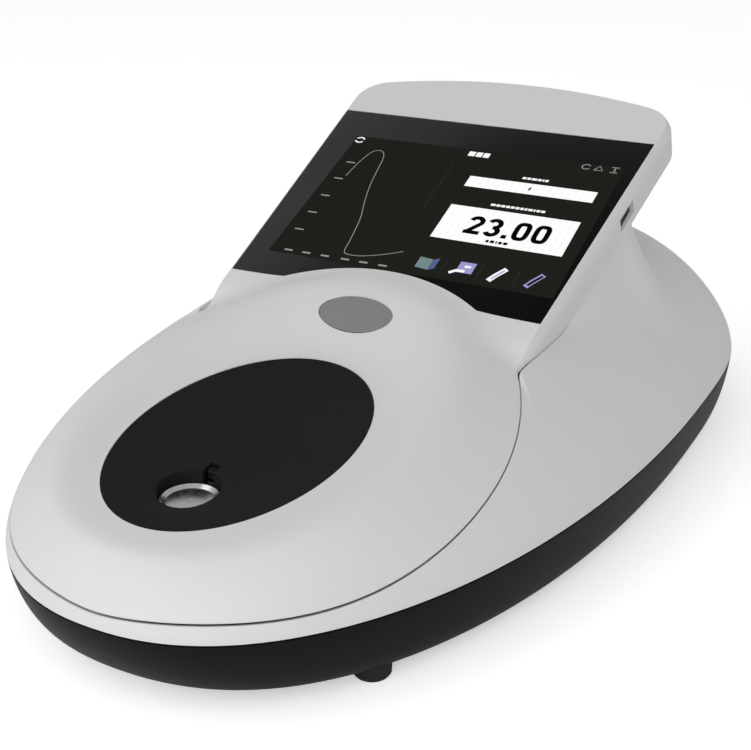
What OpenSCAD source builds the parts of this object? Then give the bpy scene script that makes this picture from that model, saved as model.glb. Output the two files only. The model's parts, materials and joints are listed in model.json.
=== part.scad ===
/* [Casing outline] */
// Width of main shell beside the front cover, at the casing's widest line
shell_beside = 29; // [27:0.5:31]
// Length from the widest point to the nose
nose_len = 231.5; // [220:0.5:245]
// Length from the widest point to the tail
tail_len = 121.5; // [112:0.5:132]
// Roundness of the nose in plan, 2 is an ellipse
nose_power = 2.2; // [2:0.1:2.4]
// Squareness of the tail in plan
tail_power = 3; // [2.6:0.1:3.4]

/* [Casing height] */
// Height of the rubber feet
foot_h = 6; // [4:0.5:9]
// Height of the black tray above the feet
tray_h = 23; // [20:0.5:27]
// Height of the dome over the tray at the widest point
dome_mid_h = 50.7; // [47:0.1:54]
// Height that the dome profile aims for at the nose
dome_nose_h = 91.4; // [84:0.1:98]
// Height that the dome profile aims for at the tail
dome_tail_h = 98.2; // [90:0.1:106]
// Wall of the moulded casings
wall = 2.4; // [2:0.1:2.8]
// Gap along the parting lines
parting = 0.3; // [0.2:0.05:0.5]

/* [Front cover] */
// Reach of the oval front cover beyond the glass's lower corners
pod_beyond = 15.3; // [13:0.1:18]
// Length of the front cover forward of its middle
pod_front = 95; // [92:0.5:98]
// Length that the front cover's oval aims for behind its middle
pod_rear = 88; // [85:0.5:92]
// Strip of main shell between the front cover and the nose
nose_strip = 1.5; // [1.2:0.1:2.5]

/* [Screen] */
// Tilt of the screen from level
screen_tilt = 22.8; // [21:0.1:24.5]
// Distance of the glass's lower edge ahead of the widest point
screen_ahead = 63.5; // [61:0.5:66]
// Height of the glass's lower edge over the tray
screen_rise = 45.3; // [44:0.1:47]
// Width of the display module behind the glass
lcd_w = 126; // [122:0.5:130]
// Length of the display module up the slope
lcd_h = 90; // [87:0.5:93]
// Width of the glass beyond the display module, at its lower edge
glass_over = 1.4; // [1.4:0.1:3]
// Extra width of the glass at its upper edge
glass_spread = 10.6; // [9:0.1:12]
// Band of glass above the display module
glass_head = 13.2; // [11:0.1:15]
// Thickness of the cover glass
glass_t = 1.6; // [1.2:0.1:1.8]
// Half width of the arc cut into the lower edge of the glass
glass_arc_hw = 40; // [36:0.5:44]
// Height of that arc
glass_arc_h = 11.7; // [10:0.1:13]
// Flat rim between glass and casing edge
bezel = 0.6; // [0.5:0.05:1]
// Depth of the screen slab
slab_t = 16; // [15:0.25:18]
// Height of the slab's crown above the glass
crown_rise = 32; // [29:0.1:36]
// Radius of the slab's upper edge
slab_arc_r = 235; // [220:1:260]
// Radius of the slab's upper corners
slab_corner_r = 14; // [11:0.5:17]

/* [Sample dish] */
// Half width of the oval dish
dish_hw = 38.2; // [36:0.2:40]
// Half length of the oval dish
dish_hl = 52.9; // [50:0.1:55]
// Distance of the dish's middle behind the nose
dish_back = 77; // [75:0.5:80]
// Slope of the dish's rim
dish_slope = 7; // [5:0.5:9]
// Height of the rim's middle over the tray
dish_rise = 26.5; // [25.5:0.1:28]
// Depth of the dish in its middle
dish_depth = 2; // [1.6:0.1:2.6]
// Diameter of the sample lid
lid_d = 19; // [17:0.5:21]
// Gap round the sample lid
lid_gap = 0.4; // [0.3:0.05:0.6]
// Distance of the sample lid's middle ahead of the dish's middle
lid_ahead = 28.7; // [26:0.1:30]
// Thickness of the sample lid
lid_t = 3.2; // [3:0.1:3.6]

/* [Inside] */
// Width of the main board
main_w = 108; // [102:1:112]
// Length of the main board
main_l = 86; // [82:1:88]
// Height of the spectrometer bench
bench_h = 24; // [22:0.5:26]

/* [Feet and ports] */
// Diameter of the feet
foot_d = 12.4; // [10:0.2:16]
// Diameter of the lid's hinge pin
pin_d = 1.2; // [1:0.1:1.4]
// Radial running fit of the pins
pin_fit = 0.05; // [0.02:0.01:0.1]
// Distance of the side socket up the slope
usb_up = 74; // [68:0.5:80]

/* [Hidden] */
$fn = 48;

// The display sets the glass, the glass sets the front cover, and that sets the casing
lcd_low = 6.5;
lcd_v = lcd_low + lcd_h / 2;
glass_w_low = lcd_w + glass_over;
glass_w_top = glass_w_low + glass_spread;
glass_h = lcd_low + lcd_h + glass_head;
pod_hw = glass_w_low / 2 + pod_beyond;
half_w = pod_hw + shell_beside;
seam_z = foot_h + tray_h;
wide_y = (nose_len - tail_len) / 2;
nose_y = wide_y - nose_len;
tail_y = wide_y + tail_len;

// Plan position as a share of the casing's outline: 0 at the widest line's middle, 1 at the edge
function egg(x, y) =
    let (front = y < wide_y,
        n = front ? nose_power : tail_power,
        len = front ? nose_len : tail_len)
    pow(pow(abs(x) / half_w, n) + pow(abs(y - wide_y) / len, n), 1 / n);

dome_round = 1.73;
dome_full = 1.5;
function crown(y) =
    let (t = (y - wide_y) / (y < wide_y ? nose_len : tail_len),
        aim = y < wide_y ? dome_nose_h : dome_tail_h)
    dome_mid_h + (aim - dome_mid_h) * t * t;
function dome_z(x, y) =
    seam_z + crown(y) * pow(1 - pow(min(1, egg(x, y)), dome_round), 1 / dome_full);

// Outward normal of the dome, from the field that is 1 all over it
function dome_field(x, y, z) =
    pow(max(0, z - seam_z) / crown(y), dome_full) + pow(egg(x, y), dome_round);
function dome_normal(x, y) =
    let (z = dome_z(x, y), h = 0.4)
    unit([dome_field(x + h, y, z) - dome_field(x - h, y, z),
        dome_field(x, y + h, z) - dome_field(x, y - h, z),
        dome_field(x, y, z + h) - dome_field(x, y, z - h)]);

// Rim plane of the dish, and the pod that sinks smoothly from the dome to that rim
dish_y = nose_y + dish_back;
rim_z0 = seam_z + dish_rise;
function rim_z(y) = rim_z0 + (y - dish_y) * tan(dish_slope);
function dish_rho(x, y) = norm([x / dish_hw, (y - dish_y) / dish_hl]);
function ease(t) = let (c = max(0, min(1, t))) c * c * (3 - 2 * c);
function soft_max(a, b, e) = (a + b + sqrt((a - b) * (a - b) + e * e)) / 2;
sink_soft = 1.5;
sink_reach = 0.8;
function pod_z(x, y) =
    let (z = dome_z(x, y),
        over = soft_max(z - rim_z(y), 0, sink_soft))
    z - over * (1 - ease((dish_rho(x, y) - 1) / sink_reach));

// Screen plane: v runs up the slope from the glass's lower edge, d is depth below the face
screen_y = wide_y - screen_ahead;
screen_z0 = seam_z + screen_rise;
tilt_c = cos(screen_tilt);
tilt_s = sin(screen_tilt);
function on_slab(x, v, d) = [x, screen_y + v * tilt_c + d * tilt_s, screen_z0 + v * tilt_s - d * tilt_c];
function face_z(y) = screen_z0 + (y - screen_y) * tan(screen_tilt);
function back_z(y) = face_z(y) - slab_t / tilt_c;
glass_flare = (glass_w_top - glass_w_low) / 2 / glass_h;
function edge_x(v) = glass_w_low / 2 + bezel + glass_flare * v;
side_bulge = 1.9;

// The slab's side leaves the oval front cover at the kink
pod_y = nose_y + nose_strip + pod_front;
kink_v = -23;
kink_x = edge_x(kink_v) + side_bulge;
kink_a = 180 - asin(kink_x / pod_hw);
kink_y = pod_y - pod_rear * cos(kink_a);
fillet_soft = 3.2;
rise_len = 14;
function cover_z(x, y) =
    let (z = pod_z(x, y),
        both = soft_max(z, face_z(y), fillet_soft))
    z + (both - z) * ease((y - kink_y) / rise_len);

// Outline of the slab's upper corners and crown
slab_crown = glass_h + crown_rise;
corner_drop = 21.7;
corner_x = edge_x(slab_crown - corner_drop) - slab_corner_r;
arc_v = slab_crown - slab_arc_r;
corner_v = arc_v + sqrt(pow(slab_arc_r - slab_corner_r, 2) - corner_x * corner_x);
corner_a = atan2(corner_v - arc_v, corner_x);

oval_steps = 21;
side_steps = 13;
corner_steps = 6;
top_steps = 7;
function oval(a, grow) =
    [(pod_hw + grow) * sin(a), pod_y - ((a > 90 ? pod_rear : pod_front) + grow) * cos(a)];

// One entry per outline point: plan point, outward direction, and how far it is slab
cover_edge = concat(
    [for (i = [0:oval_steps]) let (a = kink_a * i / oval_steps)
        [oval(a, 0), [sin(a), -cos(a), 0], 0]],
    [for (i = [1:side_steps])
        let (v = kink_v + (corner_v - kink_v) * pow(i / side_steps, 1.25),
            p = on_slab(edge_x(v), v, 0))
        [[p.x, p.y], [1, 0, 0], ease((p.y - kink_y) / rise_len)]],
    [for (i = [1:corner_steps])
        let (a = corner_a * i / corner_steps,
            p = on_slab(corner_x + slab_corner_r * cos(a), corner_v + slab_corner_r * sin(a), 0))
        [[p.x, p.y], [cos(a), sin(a) * tilt_c, sin(a) * tilt_s], 1]],
    [for (i = [1:top_steps])
        let (a = corner_a + (90 - corner_a) * i / top_steps,
            p = on_slab(slab_arc_r * cos(a), arc_v + slab_arc_r * sin(a), 0))
        [[p.x, p.y], [cos(a), sin(a) * tilt_c, sin(a) * tilt_s], 1]]);

// A half outline from nose to tail is closed by its mirror image
function flip3(p) = [-p[0], p[1], p[2]];
function closed(h) = concat(h, [for (i = [len(h) - 2:-1:1]) flip3(h[i])]);
function mix(a, b, t) = a + (b - a) * t;
function unit(v) = v / norm(v);

// Normal of a surface given as rings of points
function ring_normal(g, i, j) =
    let (n = len(g[0]),
        a = g[min(i + 1, len(g) - 1)][j] - g[max(i - 1, 0)][j],
        b = g[i][(j + 1) % n] - g[i][(j + n - 1) % n])
    unit(cross(a, b));

// Solid through a stack of closed rings, joined end to end or capped at both ends
module loft(rings, ring_shaped = false) {
    n = len(rings[0]);
    m = len(rings);
    last = ring_shaped ? m - 1 : m - 2;
    sides = [for (i = [0:last], j = [0:n - 1], s = [0, 1])
        let (a = i * n + j, b = i * n + (j + 1) % n,
            c = ((i + 1) % m) * n + (j + 1) % n, d = ((i + 1) % m) * n + j)
        s == 0 ? [a, b, c] : [a, c, d]];
    caps = ring_shaped ? [] : [[for (j = [n - 1:-1:0]) j], [for (j = [0:n - 1]) (m - 1) * n + j]];
    polyhedron([for (r = rings) each r], concat(sides, caps), convexity = 10);
}

// Front cover: pod, apron, bezel and slab walls as one moulding
cover_t = [0, 0.07, 0.14, 0.21, 0.28, 0.36, 0.45, 0.56, 0.7, 0.85, 1];
cover_out = [for (t = cover_t)
    [for (e = cover_edge)
        let (rim = [0, dish_y] + (e[0] - [0, dish_y]) / dish_rho(e[0].x, e[0].y),
            p = mix(rim, e[0], t))
        [p.x, p.y, cover_z(p.x, p.y)]]];
ledge_w = 1;
pod_lip = [[0, 0.4], [0, 0.8], [0, 1.2], [0, 1.6], [0, 2], [0, wall], [-0.5, wall], [-1, wall]];
slab_lip = [[1, 0.35], [1.6, 1.2], [side_bulge, 3], [side_bulge, 10], [1.5, 14], [0.4, slab_t],
    [-bezel - ledge_w, slab_t], [-bezel - ledge_w, wall]];
cover_full = [for (r = cover_out) closed(r)];
function cover_half_normal(i, j) = ring_normal(cover_full, i, j);
slab_down = [0, tilt_s, -tilt_c];
cover_lip = [for (k = [0:len(slab_lip) - 1])
    [for (j = [0:len(cover_edge) - 1])
        let (e = cover_edge[j],
            s = e[2],
            lip = mix(pod_lip[k], slab_lip[k], s),
            down = unit(mix(-dome_normal(e[0].x, e[0].y), slab_down, s)))
        cover_out[len(cover_t) - 1][j] + e[1] * lip[0] + down * lip[1]]];
cover_in = [for (i = [9, 8, 6, 4, 2, 0])
    [for (j = [0:len(cover_edge) - 1])
        cover_out[i][j] - wall * (i == 0 ? [0, 0, 1] : cover_half_normal(i, j))]];

module on_screen() {
    translate([0, screen_y, screen_z0])
        rotate([screen_tilt, 0, 0])
            children();
}

// Arc of the glass's lower edge as a circle
arc_r = (glass_arc_hw * glass_arc_hw + glass_arc_h * glass_arc_h) / 2 / glass_arc_h;
module glass_shape(grow) {
    difference() {
        polygon([[-glass_w_low / 2 - grow, -grow], [glass_w_low / 2 + grow, -grow],
            [glass_w_top / 2 + grow, glass_h + grow], [-glass_w_top / 2 - grow, glass_h + grow]]);
        translate([0, glass_arc_h - arc_r]) circle(r = arc_r - grow, $fn = 120);
    }
}

glass_fit = 0.2;
glass_ledge = 2.2;
shelf_t = 0.8;
shelf_out = 0.8;
usb_w = 12.6;
usb_h = 5.2;
usb_len = 14;
usb_d = 8.2;
usb_fit = 0.3;
usb_sink = 1.2;
usb_cut = [4, 6];
cut_h = 30;
badge_a = 14.5;
badge_b = 8;
badge_ahead = 16.7;
badge_y = screen_y - badge_ahead;
badge_z = cover_z(0, badge_y);
badge_slope = atan((cover_z(0, badge_y + 2) - cover_z(0, badge_y - 2)) / 4);
badge_t = 1.4;
badge_sink = 1;
badge_fit = 0.15;
badge_bed = 0.05;
module oval_plate(a, b, h) {
    linear_extrude(h) polygon([for (i = [0:47]) [a * cos(i * 7.5), b * sin(i * 7.5)]]);
}
module on_badge() {
    translate([0, badge_y, badge_z])
        rotate([badge_slope, 0, 0])
            children();
}
usb_x = edge_x(usb_up) + side_bulge - usb_sink;

module front_cover() {
    color("gainsboro") difference() {
        union() {
            loft([for (r = concat(cover_out, cover_lip, cover_in)) closed(r)], true);
            on_screen() translate([0, 0, -glass_t - shelf_t]) linear_extrude(shelf_t) glass_shape(shelf_out);
        }
        on_screen() translate([0, 0, -glass_t]) linear_extrude(glass_t + cut_h) glass_shape(glass_fit);
        on_screen() translate([0, 0, -2 * wall]) linear_extrude(2 * wall) glass_shape(-glass_ledge);
        on_screen()
            translate([usb_x - usb_cut[0], usb_up - usb_w / 2 - usb_fit, -usb_d - usb_h / 2 - usb_fit])
                cube([usb_cut[0] + usb_cut[1], usb_w + 2 * usb_fit, usb_h + 2 * usb_fit]);
        on_badge() translate([0, 0, -badge_sink])
            oval_plate(badge_a + badge_fit, badge_b + badge_fit, cut_h);
    }
}

// Main shell: the dome round the front cover, rising under the slab as its neck
function slab_x(y, z) =
    edge_x((y - screen_y) * tilt_c + (z - screen_z0) * tilt_s) + side_bulge + parting;
neck_y = 45;
neck_len = 48;
neck_fillet = 30;
shell_side_steps = 8;
neck_steps = 18;
neck_hw = slab_x(neck_y, back_z(neck_y));
neck_a = atan2(neck_y - wide_y, neck_hw);

// Where a ray from the middle of the widest line meets the neck's oval
function neck_point(a) =
    let (c = cos(a) / neck_hw,
        s = sin(a) / neck_len,
        k = (wide_y - neck_y) / neck_len,
        q = c * c + s * s,
        r = (-k * s + sqrt(k * k * s * s - q * (k * k - 1))) / q)
    [r * cos(a), wide_y + r * sin(a)];
shell_edge = concat(
    [for (i = [0:oval_steps]) [oval(kink_a * i / oval_steps, parting), 1 - ease(i - oval_steps + 1)]],
    [for (i = [1:shell_side_steps])
        let (y = mix(kink_y, neck_y, i / shell_side_steps),
            z = max(back_z(y), dome_z(kink_x, y)))
        [[slab_x(y, z), y], 0]],
    [for (i = [1:neck_steps])
        [neck_point(mix(neck_a, 90, i / neck_steps)), 0]]);
shell_t = [0, 0.09, 0.18, 0.28, 0.4, 0.53, 0.66, 0.78, 0.88, 0.95, 0.985, 1];
function seam_point(b) = [0, wide_y] + (b - [0, wide_y]) / egg(b.x, b.y);
shell_out = [for (t = shell_t)
    [for (e = shell_edge)
        let (b = e[0],
            p = mix(b, seam_point(b), t),
            lift = max(0, back_z(b.y) - parting - dome_z(b.x, b.y)),
            fall = pow(max(0, 1 - norm(p - b) / neck_fillet), 2))
        [p.x, p.y, (t == 1 ? seam_z : dome_z(p.x, p.y) + lift * fall)]]];
shell_full = [for (r = shell_out) closed(r)];
seam_ring = shell_full[len(shell_t) - 1];
seam_n = len(seam_ring);

// Outward direction of the seam in plan
function seam_out(j) =
    let (a = seam_ring[(j + 1) % seam_n] - seam_ring[(j + seam_n - 1) % seam_n])
    unit([a.y, -a.x, 0]);
shell_in = [for (i = [11, 10, 9, 7, 5, 3, 1, 0])
    [for (j = [0:len(shell_edge) - 1])
        let (p = shell_out[i][j],
            w = shell_edge[j][1],
            n = i == len(shell_t) - 1 ? seam_out(j)
                : i == 0 ? unit(mix([0, 0, 1], dome_normal(p.x, p.y), w))
                : ring_normal(shell_full, i, j))
        p - wall * n]];

// Screws that hold the casing together, and the bosses that take them
case_in = 24;
case_at = [for (side = [1, -1], y = [10, 105]) [side * (half_w - case_in), y]];
case_boss_d = 9;
case_hole_d = 3.4;
screw_d = 2.9;
case_boss_deep = 9;
function low_dome(c, r) = min([for (a = [0:30:330]) dome_z(c.x + r * cos(a), c.y + r * sin(a))]);
module main_shell() {
    color("gainsboro") difference() {
        union() {
            loft([for (r = concat(shell_out, shell_in)) closed(r)], true);
            for (c = case_at)
                translate([c.x, c.y, seam_z + parting])
                    cylinder(d = case_boss_d, h = low_dome(c, case_boss_d / 2) - seam_z - parting - 0.9);
        }
        for (c = case_at)
            translate([c.x, c.y, seam_z])
                cylinder(d = screw_d + 0.1, h = case_boss_deep);
    }
}

// Base tray: drafted sides that round over into a flat floor
nose_inset = 15;
side_inset = 5.4;
tail_inset = 7.5;
tray_power = 1.59;
function tray_inset(n) = side_inset + ((n.y < 0 ? nose_inset : tail_inset) - side_inset) * n.y * n.y;
tray_angles = [90, 72, 54, 38, 24, 12, 0];
function tray_ring(a, inner) =
    [for (j = [0:seam_n - 1])
        let (n = seam_out(j),
            in = tray_inset(n) * (1 - pow(cos(a), 2 / tray_power)) + inner,
            drop = (tray_h - inner) * pow(sin(a), 2 / tray_power))
        [seam_ring[j].x - n.x * in, seam_ring[j].y - n.y * in, seam_z - drop]];
function tray_down(inner) = [for (k = [len(tray_angles) - 1:-1:0]) tray_ring(tray_angles[k], inner)];
floor_z = foot_h + wall;
foot_front_in = 49;
foot_rear_in = 32;
foot_at = [[half_w - foot_front_in, -122], [foot_front_in - half_w, -122],
    [half_w - foot_rear_in, 112], [foot_rear_in - half_w, 112]];
foot_boss_d = 9;
plate_z = 14;
plate_t = 2;
plate_at = [[78, -34], [-78, -34], [78, 62], [-78, 62], [0, 124], [14, -39]];
plate_boss_d = 8;
panel_w = 84;
panel_h = 15.5;
panel_z = foot_h + tray_h / 2 + 1;
panel_in = 16;
panel_y = tail_y - panel_in;
pocket_back = 1.6;
pocket_skin = 0.4;

module screw_holes(points, d, h) {
    for (c = points)
        translate([c.x, c.y, 0])
            cylinder(d = d, h = h);
}

module base_tray() {
    color("dimgray") difference() {
        union() {
            loft(concat([for (a = tray_angles) tray_ring(a, wall)], tray_down(0)));
            for (c = foot_at)
                translate([c.x, c.y, foot_h + wall / 2])
                    cylinder(d = foot_boss_d, h = wall / 2 + 4);
            for (c = plate_at)
                translate([c.x, c.y, foot_h + wall / 2])
                    cylinder(d = plate_boss_d, h = plate_z - foot_h - wall / 2);
            for (c = case_at)
                translate([c.x, c.y, foot_h + wall / 2])
                    cylinder(d = case_boss_d, h = tray_h - wall / 2);
            intersection() {
                translate([-panel_w / 2 - wall, panel_y - pocket_back, panel_z - panel_h / 2 - wall])
                    cube([panel_w + 2 * wall, pocket_back + panel_in, panel_h + 2 * wall]);
                loft(tray_down(pocket_skin));
            }
        }
        screw_holes(foot_at, screw_d + 0.1, foot_h + 5.5);
        for (c = plate_at)
            translate([c.x, c.y, floor_z])
                cylinder(d = screw_d + 0.1, h = tray_h);
        screw_holes(case_at, case_hole_d, seam_z + 1);
        screw_holes(case_at, 6.4, foot_h + 4);
        translate([-panel_w / 2, panel_y - 0.1, panel_z - panel_h / 2])
            cube([panel_w, 2 * panel_in, panel_h]);
        translate([-panel_w / 2 + 2, panel_y - 4, panel_z - panel_h / 2 + 0.8])
            cube([panel_w - 4, 8, panel_h - 1.6]);
    }
}

// Back of the slab
back_gap = 0.5;
module slab_shape(grow) {
    polygon(concat(
        [[edge_x(0) + grow, 0]],
        [for (i = [0:corner_steps])
            let (a = corner_a * i / corner_steps)
            [corner_x + (slab_corner_r + grow) * cos(a), corner_v + (slab_corner_r + grow) * sin(a)]],
        [for (i = [1:2 * top_steps])
            let (a = corner_a + (90 - corner_a) * i / top_steps)
            [(slab_arc_r + grow) * cos(a), arc_v + (slab_arc_r + grow) * sin(a)]],
        [for (i = [corner_steps:-1:0])
            let (a = corner_a * i / corner_steps)
            [-corner_x - (slab_corner_r + grow) * cos(a), corner_v + (slab_corner_r + grow) * sin(a)]],
        [[-edge_x(0) - grow, 0]]));
}
back_inset = bezel + ledge_w + back_gap;
cable_v = 62;
cable_slot_w = 40;
cable_slot_l = 12;
module screen_back_cover() {
    color("gainsboro") on_screen() difference() {
        translate([0, 0, -slab_t]) linear_extrude(wall) slab_shape(-back_inset);
        translate([-cable_slot_w / 2, cable_v - cable_slot_l / 2, -slab_t - 1])
            cube([cable_slot_w, cable_slot_l, wall + 2]);
    }
}

module screen_glass() {
    color([0.08, 0.08, 0.09]) on_screen() translate([0, 0, -glass_t]) linear_extrude(glass_t) glass_shape(0);
}

// Display stack behind the glass
lcd_t = 2.9;
lcd_rim_x = 4;
lcd_rim_y = 3;
stack_gap = 0.3;
lcd_z = -wall - 0.1;
frame_back = 1;
frame_t = lcd_t + frame_back;
frame_slot_w = 30;
frame_slot_l = 12;
module lcd_panel() {
    color("darkslategray") on_screen()
        translate([-lcd_w / 2 + lcd_rim_x, lcd_low + lcd_rim_y, lcd_z - lcd_t])
            cube([lcd_w - 2 * lcd_rim_x, lcd_h - 2 * lcd_rim_y, lcd_t]);
}
module display_frame() {
    inner_w = lcd_w - 2 * lcd_rim_x + 2 * stack_gap;
    inner_h = lcd_h - 2 * lcd_rim_y + 2 * stack_gap;
    color("silver") on_screen() difference() {
        translate([-lcd_w / 2, lcd_low, lcd_z - frame_t])
            cube([lcd_w, lcd_h, frame_t - stack_gap]);
        translate([-inner_w / 2, lcd_v - inner_h / 2, lcd_z - lcd_t - stack_gap])
            cube([inner_w, inner_h, lcd_t + 2]);
        translate([-frame_slot_w / 2, cable_v - frame_slot_l - 8.5, lcd_z - frame_t - 1])
            cube([frame_slot_w, frame_slot_l, frame_t]);
        translate([usb_x - usb_len - 0.2, usb_up - usb_w / 2 - 0.5, -usb_d - usb_h / 2])
            cube([usb_len, usb_w + 1, usb_h + 0.15]);
    }
}
board_t = 1.6;
display_board_x = lcd_w / 2 - 13;
display_board_low = lcd_low + 7.5;
display_board_l = lcd_h - 14;
display_board_z = lcd_z - frame_t - stack_gap - board_t;
plug_w = 28;
plug_l = 5;
plug_h = 2.2;
driver_chip = [14, 14, 1.2];
module display_board() {
    color("darkgreen") on_screen() {
        translate([-display_board_x, display_board_low, display_board_z])
            cube([2 * display_board_x, display_board_l, board_t]);
        translate([-plug_w / 2, cable_v - plug_l + 1, display_board_z - plug_h])
            cube([plug_w, plug_l, plug_h]);
        translate([-plug_w - 2, display_board_low + 16, display_board_z - driver_chip.z]) cube(driver_chip);
        translate([display_board_x, usb_up - usb_w / 2 - 1, display_board_z])
            cube([usb_x - usb_len - display_board_x - 0.1, usb_w + 2, board_t]);
    }
}

usb_wall = 0.4;
module usb_shell(w, h, len) {
    difference() {
        cube([len, w, h]);
        translate([1.5, usb_wall, usb_wall]) cube([len, w - 2 * usb_wall, h - 2 * usb_wall]);
    }
    translate([1, w * 0.08, h * 0.22]) cube([len - 2.2, w * 0.84, 1.4]);
}
module side_usb_port() {
    color("silver") on_screen() translate([usb_x - usb_len, usb_up - usb_w / 2, -usb_d - usb_h / 2])
        usb_shell(usb_w, usb_h, usb_len);
}

module badge() {
    color("gray") on_badge() translate([0, 0, badge_bed - badge_sink]) oval_plate(badge_a, badge_b, badge_t);
}

// Sample dish: a shallow oval bowl with a well for the sample port and a scoop ahead of it
port_y = dish_y - lid_ahead;
lid_sink = 4.9;
lid_top = rim_z(port_y) - lid_sink;
lid_r = lid_d / 2;
hole_r = lid_r + lid_gap;
scoop_w = 6;
scoop_d = 0.8;
well_edge = 0.35;
dish_wall = 2;
tube_wall = 1.6;
tube_len = 7;
tube_z = lid_top - tube_len;
dish_steps = 48;
dish_gap = 0.2;
dish_s = [0, well_edge, 1.2, 2.4, 4, scoop_w];
dish_t = [0.3, 0.6, 0.85, 1];
function bowl_z(x, y) =
    rim_z(y) - 0.2 - dish_depth * max(0, 1 - pow(dish_rho(x, y), 2));
dish_rim = [for (i = [0:dish_steps - 1])
    let (a = 360 * i / dish_steps)
    [(dish_hw - dish_gap) * sin(a), dish_y - (dish_hl - dish_gap) * cos(a)]];
function port_dir(p) = unit(p - [0, port_y]);
function port_point(p, r) = [0, port_y] + r * port_dir(p);
function at_z(p, z) = [p.x, p.y, z];
function scoop(p, s) = scoop_d * ease(-port_dir(p).y) * pow(1 - s / scoop_w, 2);
function dish_top(p, s, drop = 0) =
    let (q = port_point(p, hole_r + s))
    at_z(q, bowl_z(q.x, q.y) - scoop(p, s) - (s == 0 ? well_edge : 0) - drop);
function dish_out(p, t, drop = 0) =
    let (q = mix(port_point(p, hole_r + scoop_w), p, t)) at_z(q, bowl_z(q.x, q.y) - drop);

// The lid's arm swings in a slot of the dish, on a pin in the two lugs beside it
pin_back = 12.6;
pin_rise = 2.4;
pin_y = port_y + pin_back;
pin_z = lid_top + pin_rise;
arm_w = 3;
arm_gap = 0.4;
eye_r = 1.5;
lug_w = 3;
lug_r = 2;
pin_len = arm_w + 2 * arm_gap + 2 * lug_w;
module dish_insert() {
    slot_w = arm_w + 2 * arm_gap;
    color([0.13, 0.13, 0.13]) difference() {
        union() {
            loft(concat(
                [[for (p = dish_rim) at_z(port_point(p, hole_r), tube_z)]],
                [for (s = dish_s) [for (p = dish_rim) dish_top(p, s)]],
                [for (t = dish_t) [for (p = dish_rim) dish_out(p, t)]],
                [for (t = [1, 0.6, 0]) [for (p = dish_rim) dish_out(p, t, dish_wall)]],
                [[for (p = dish_rim) dish_top(p, tube_wall, dish_wall)]],
                [[for (p = dish_rim) at_z(port_point(p, hole_r + tube_wall), tube_z)]]), true);
            translate([-pin_len / 2, pin_y - lug_r, pin_z - lug_r])
                cube([pin_len, 2 * lug_r, lug_r + 1.2]);
        }
        translate([-slot_w / 2, port_y, lid_top - lid_t - 0.5])
            cube([slot_w, pin_back + eye_r + arm_gap, cut_h]);
        translate([-pin_len, pin_y, pin_z]) rotate([0, 90, 0])
            cylinder(d = pin_d + 0.02, h = 2 * pin_len);
    }
}

// Sample lid: a turned metal disc on a bent arm
lid_z = lid_top - lid_t;
lid_rim = 0.7;
lid_edge = 0.8;
lid_taper = 1;
lid_dish = 1;
dimple_r = 0.8;
dimple_d = 0.4;
mirror_d = 3.6;
mirror_t = 1;
arm_t = 1.8;
arm_low = 0.2;
module lid_profile() {
    polygon([[0, lid_z + mirror_t], [mirror_d / 2 + pin_fit, lid_z + mirror_t],
        [mirror_d / 2 + pin_fit, lid_z], [lid_r - lid_taper, lid_z], [lid_r, lid_top - lid_edge],
        [lid_r, lid_top - 0.2], [lid_r - 0.2, lid_top], [lid_r - lid_rim, lid_top],
        [lid_r - lid_rim - 1.3, lid_top - lid_dish], [dimple_r, lid_top - lid_dish],
        [0, lid_top - lid_dish - dimple_d]]);
}
module arm_shape() {
    low = lid_z + arm_low - pin_z;
    circle(r = eye_r);
    polygon([[-eye_r, 0], [-eye_r, low + 3], [-2.2, low + arm_t], [-pin_back + lid_r - 1.4, low + arm_t],
        [-pin_back + lid_r - 1.4, low], [-0.6, low], [eye_r, low + 2.1], [eye_r, 0]]);
}
module sample_lid() {
    color("silver") difference() {
        union() {
            translate([0, port_y, 0]) rotate_extrude($fn = 96) lid_profile();
            translate([-arm_w / 2, pin_y, pin_z]) rotate([90, 0, 90]) linear_extrude(arm_w) arm_shape();
        }
        translate([-arm_w, pin_y, pin_z]) rotate([0, 90, 0])
            cylinder(r = pin_d / 2 + pin_fit, h = 2 * arm_w);
    }
}
module lid_mirror() {
    color("white") translate([0, port_y, lid_z]) cylinder(d = mirror_d, h = mirror_t - 0.05);
}
module lid_hinge_pin() {
    color("silver") translate([-pin_len / 2, pin_y, pin_z]) rotate([0, 90, 0])
        cylinder(d = pin_d, h = pin_len);
}

// Sample block: the lower half of the light path
path_len = 0.5;
block_top = lid_z - path_len;
block_in = 0.6;
block_r = lid_r - block_in;
flange_r = 13;
flange_t = 3;
flange_drop = 3.5;
flange_z = tube_z - flange_drop;
flange_screw_x = 10.8;
flange_hole_d = 2.2;
window_d = 4;
window_t = 1.5;
fibre_d = 2.4;
fibre_x = 1.4;
fibre_in = 4;
module sample_block() {
    color("darkgray") difference() {
        union() {
            translate([0, port_y, flange_z]) cylinder(r = flange_r, h = flange_t);
            translate([0, port_y, flange_z]) cylinder(r = block_r, h = block_top - flange_z);
        }
        translate([0, port_y, block_top - window_t]) cylinder(d = window_d + 0.1, h = window_t + 1);
        for (x = [-fibre_x, fibre_x])
            translate([x, port_y, flange_z - 1]) cylinder(d = fibre_d + 0.1, h = fibre_in + 1);
        for (x = [-flange_screw_x, flange_screw_x])
            translate([x, port_y, flange_z - 1]) cylinder(d = flange_hole_d, h = flange_t + 2);
        translate([-arm_w / 2 - arm_gap, port_y + block_r - 3, block_top - 1])
            cube([arm_w + 2 * arm_gap, block_r, 3]);
    }
}
module sample_window() {
    color("lightcyan") translate([0, port_y, block_top - window_t]) cylinder(d = window_d, h = window_t);
}
seal_h = 1;
seal_up = 0.8;
seal_gap = 0.1;
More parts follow.
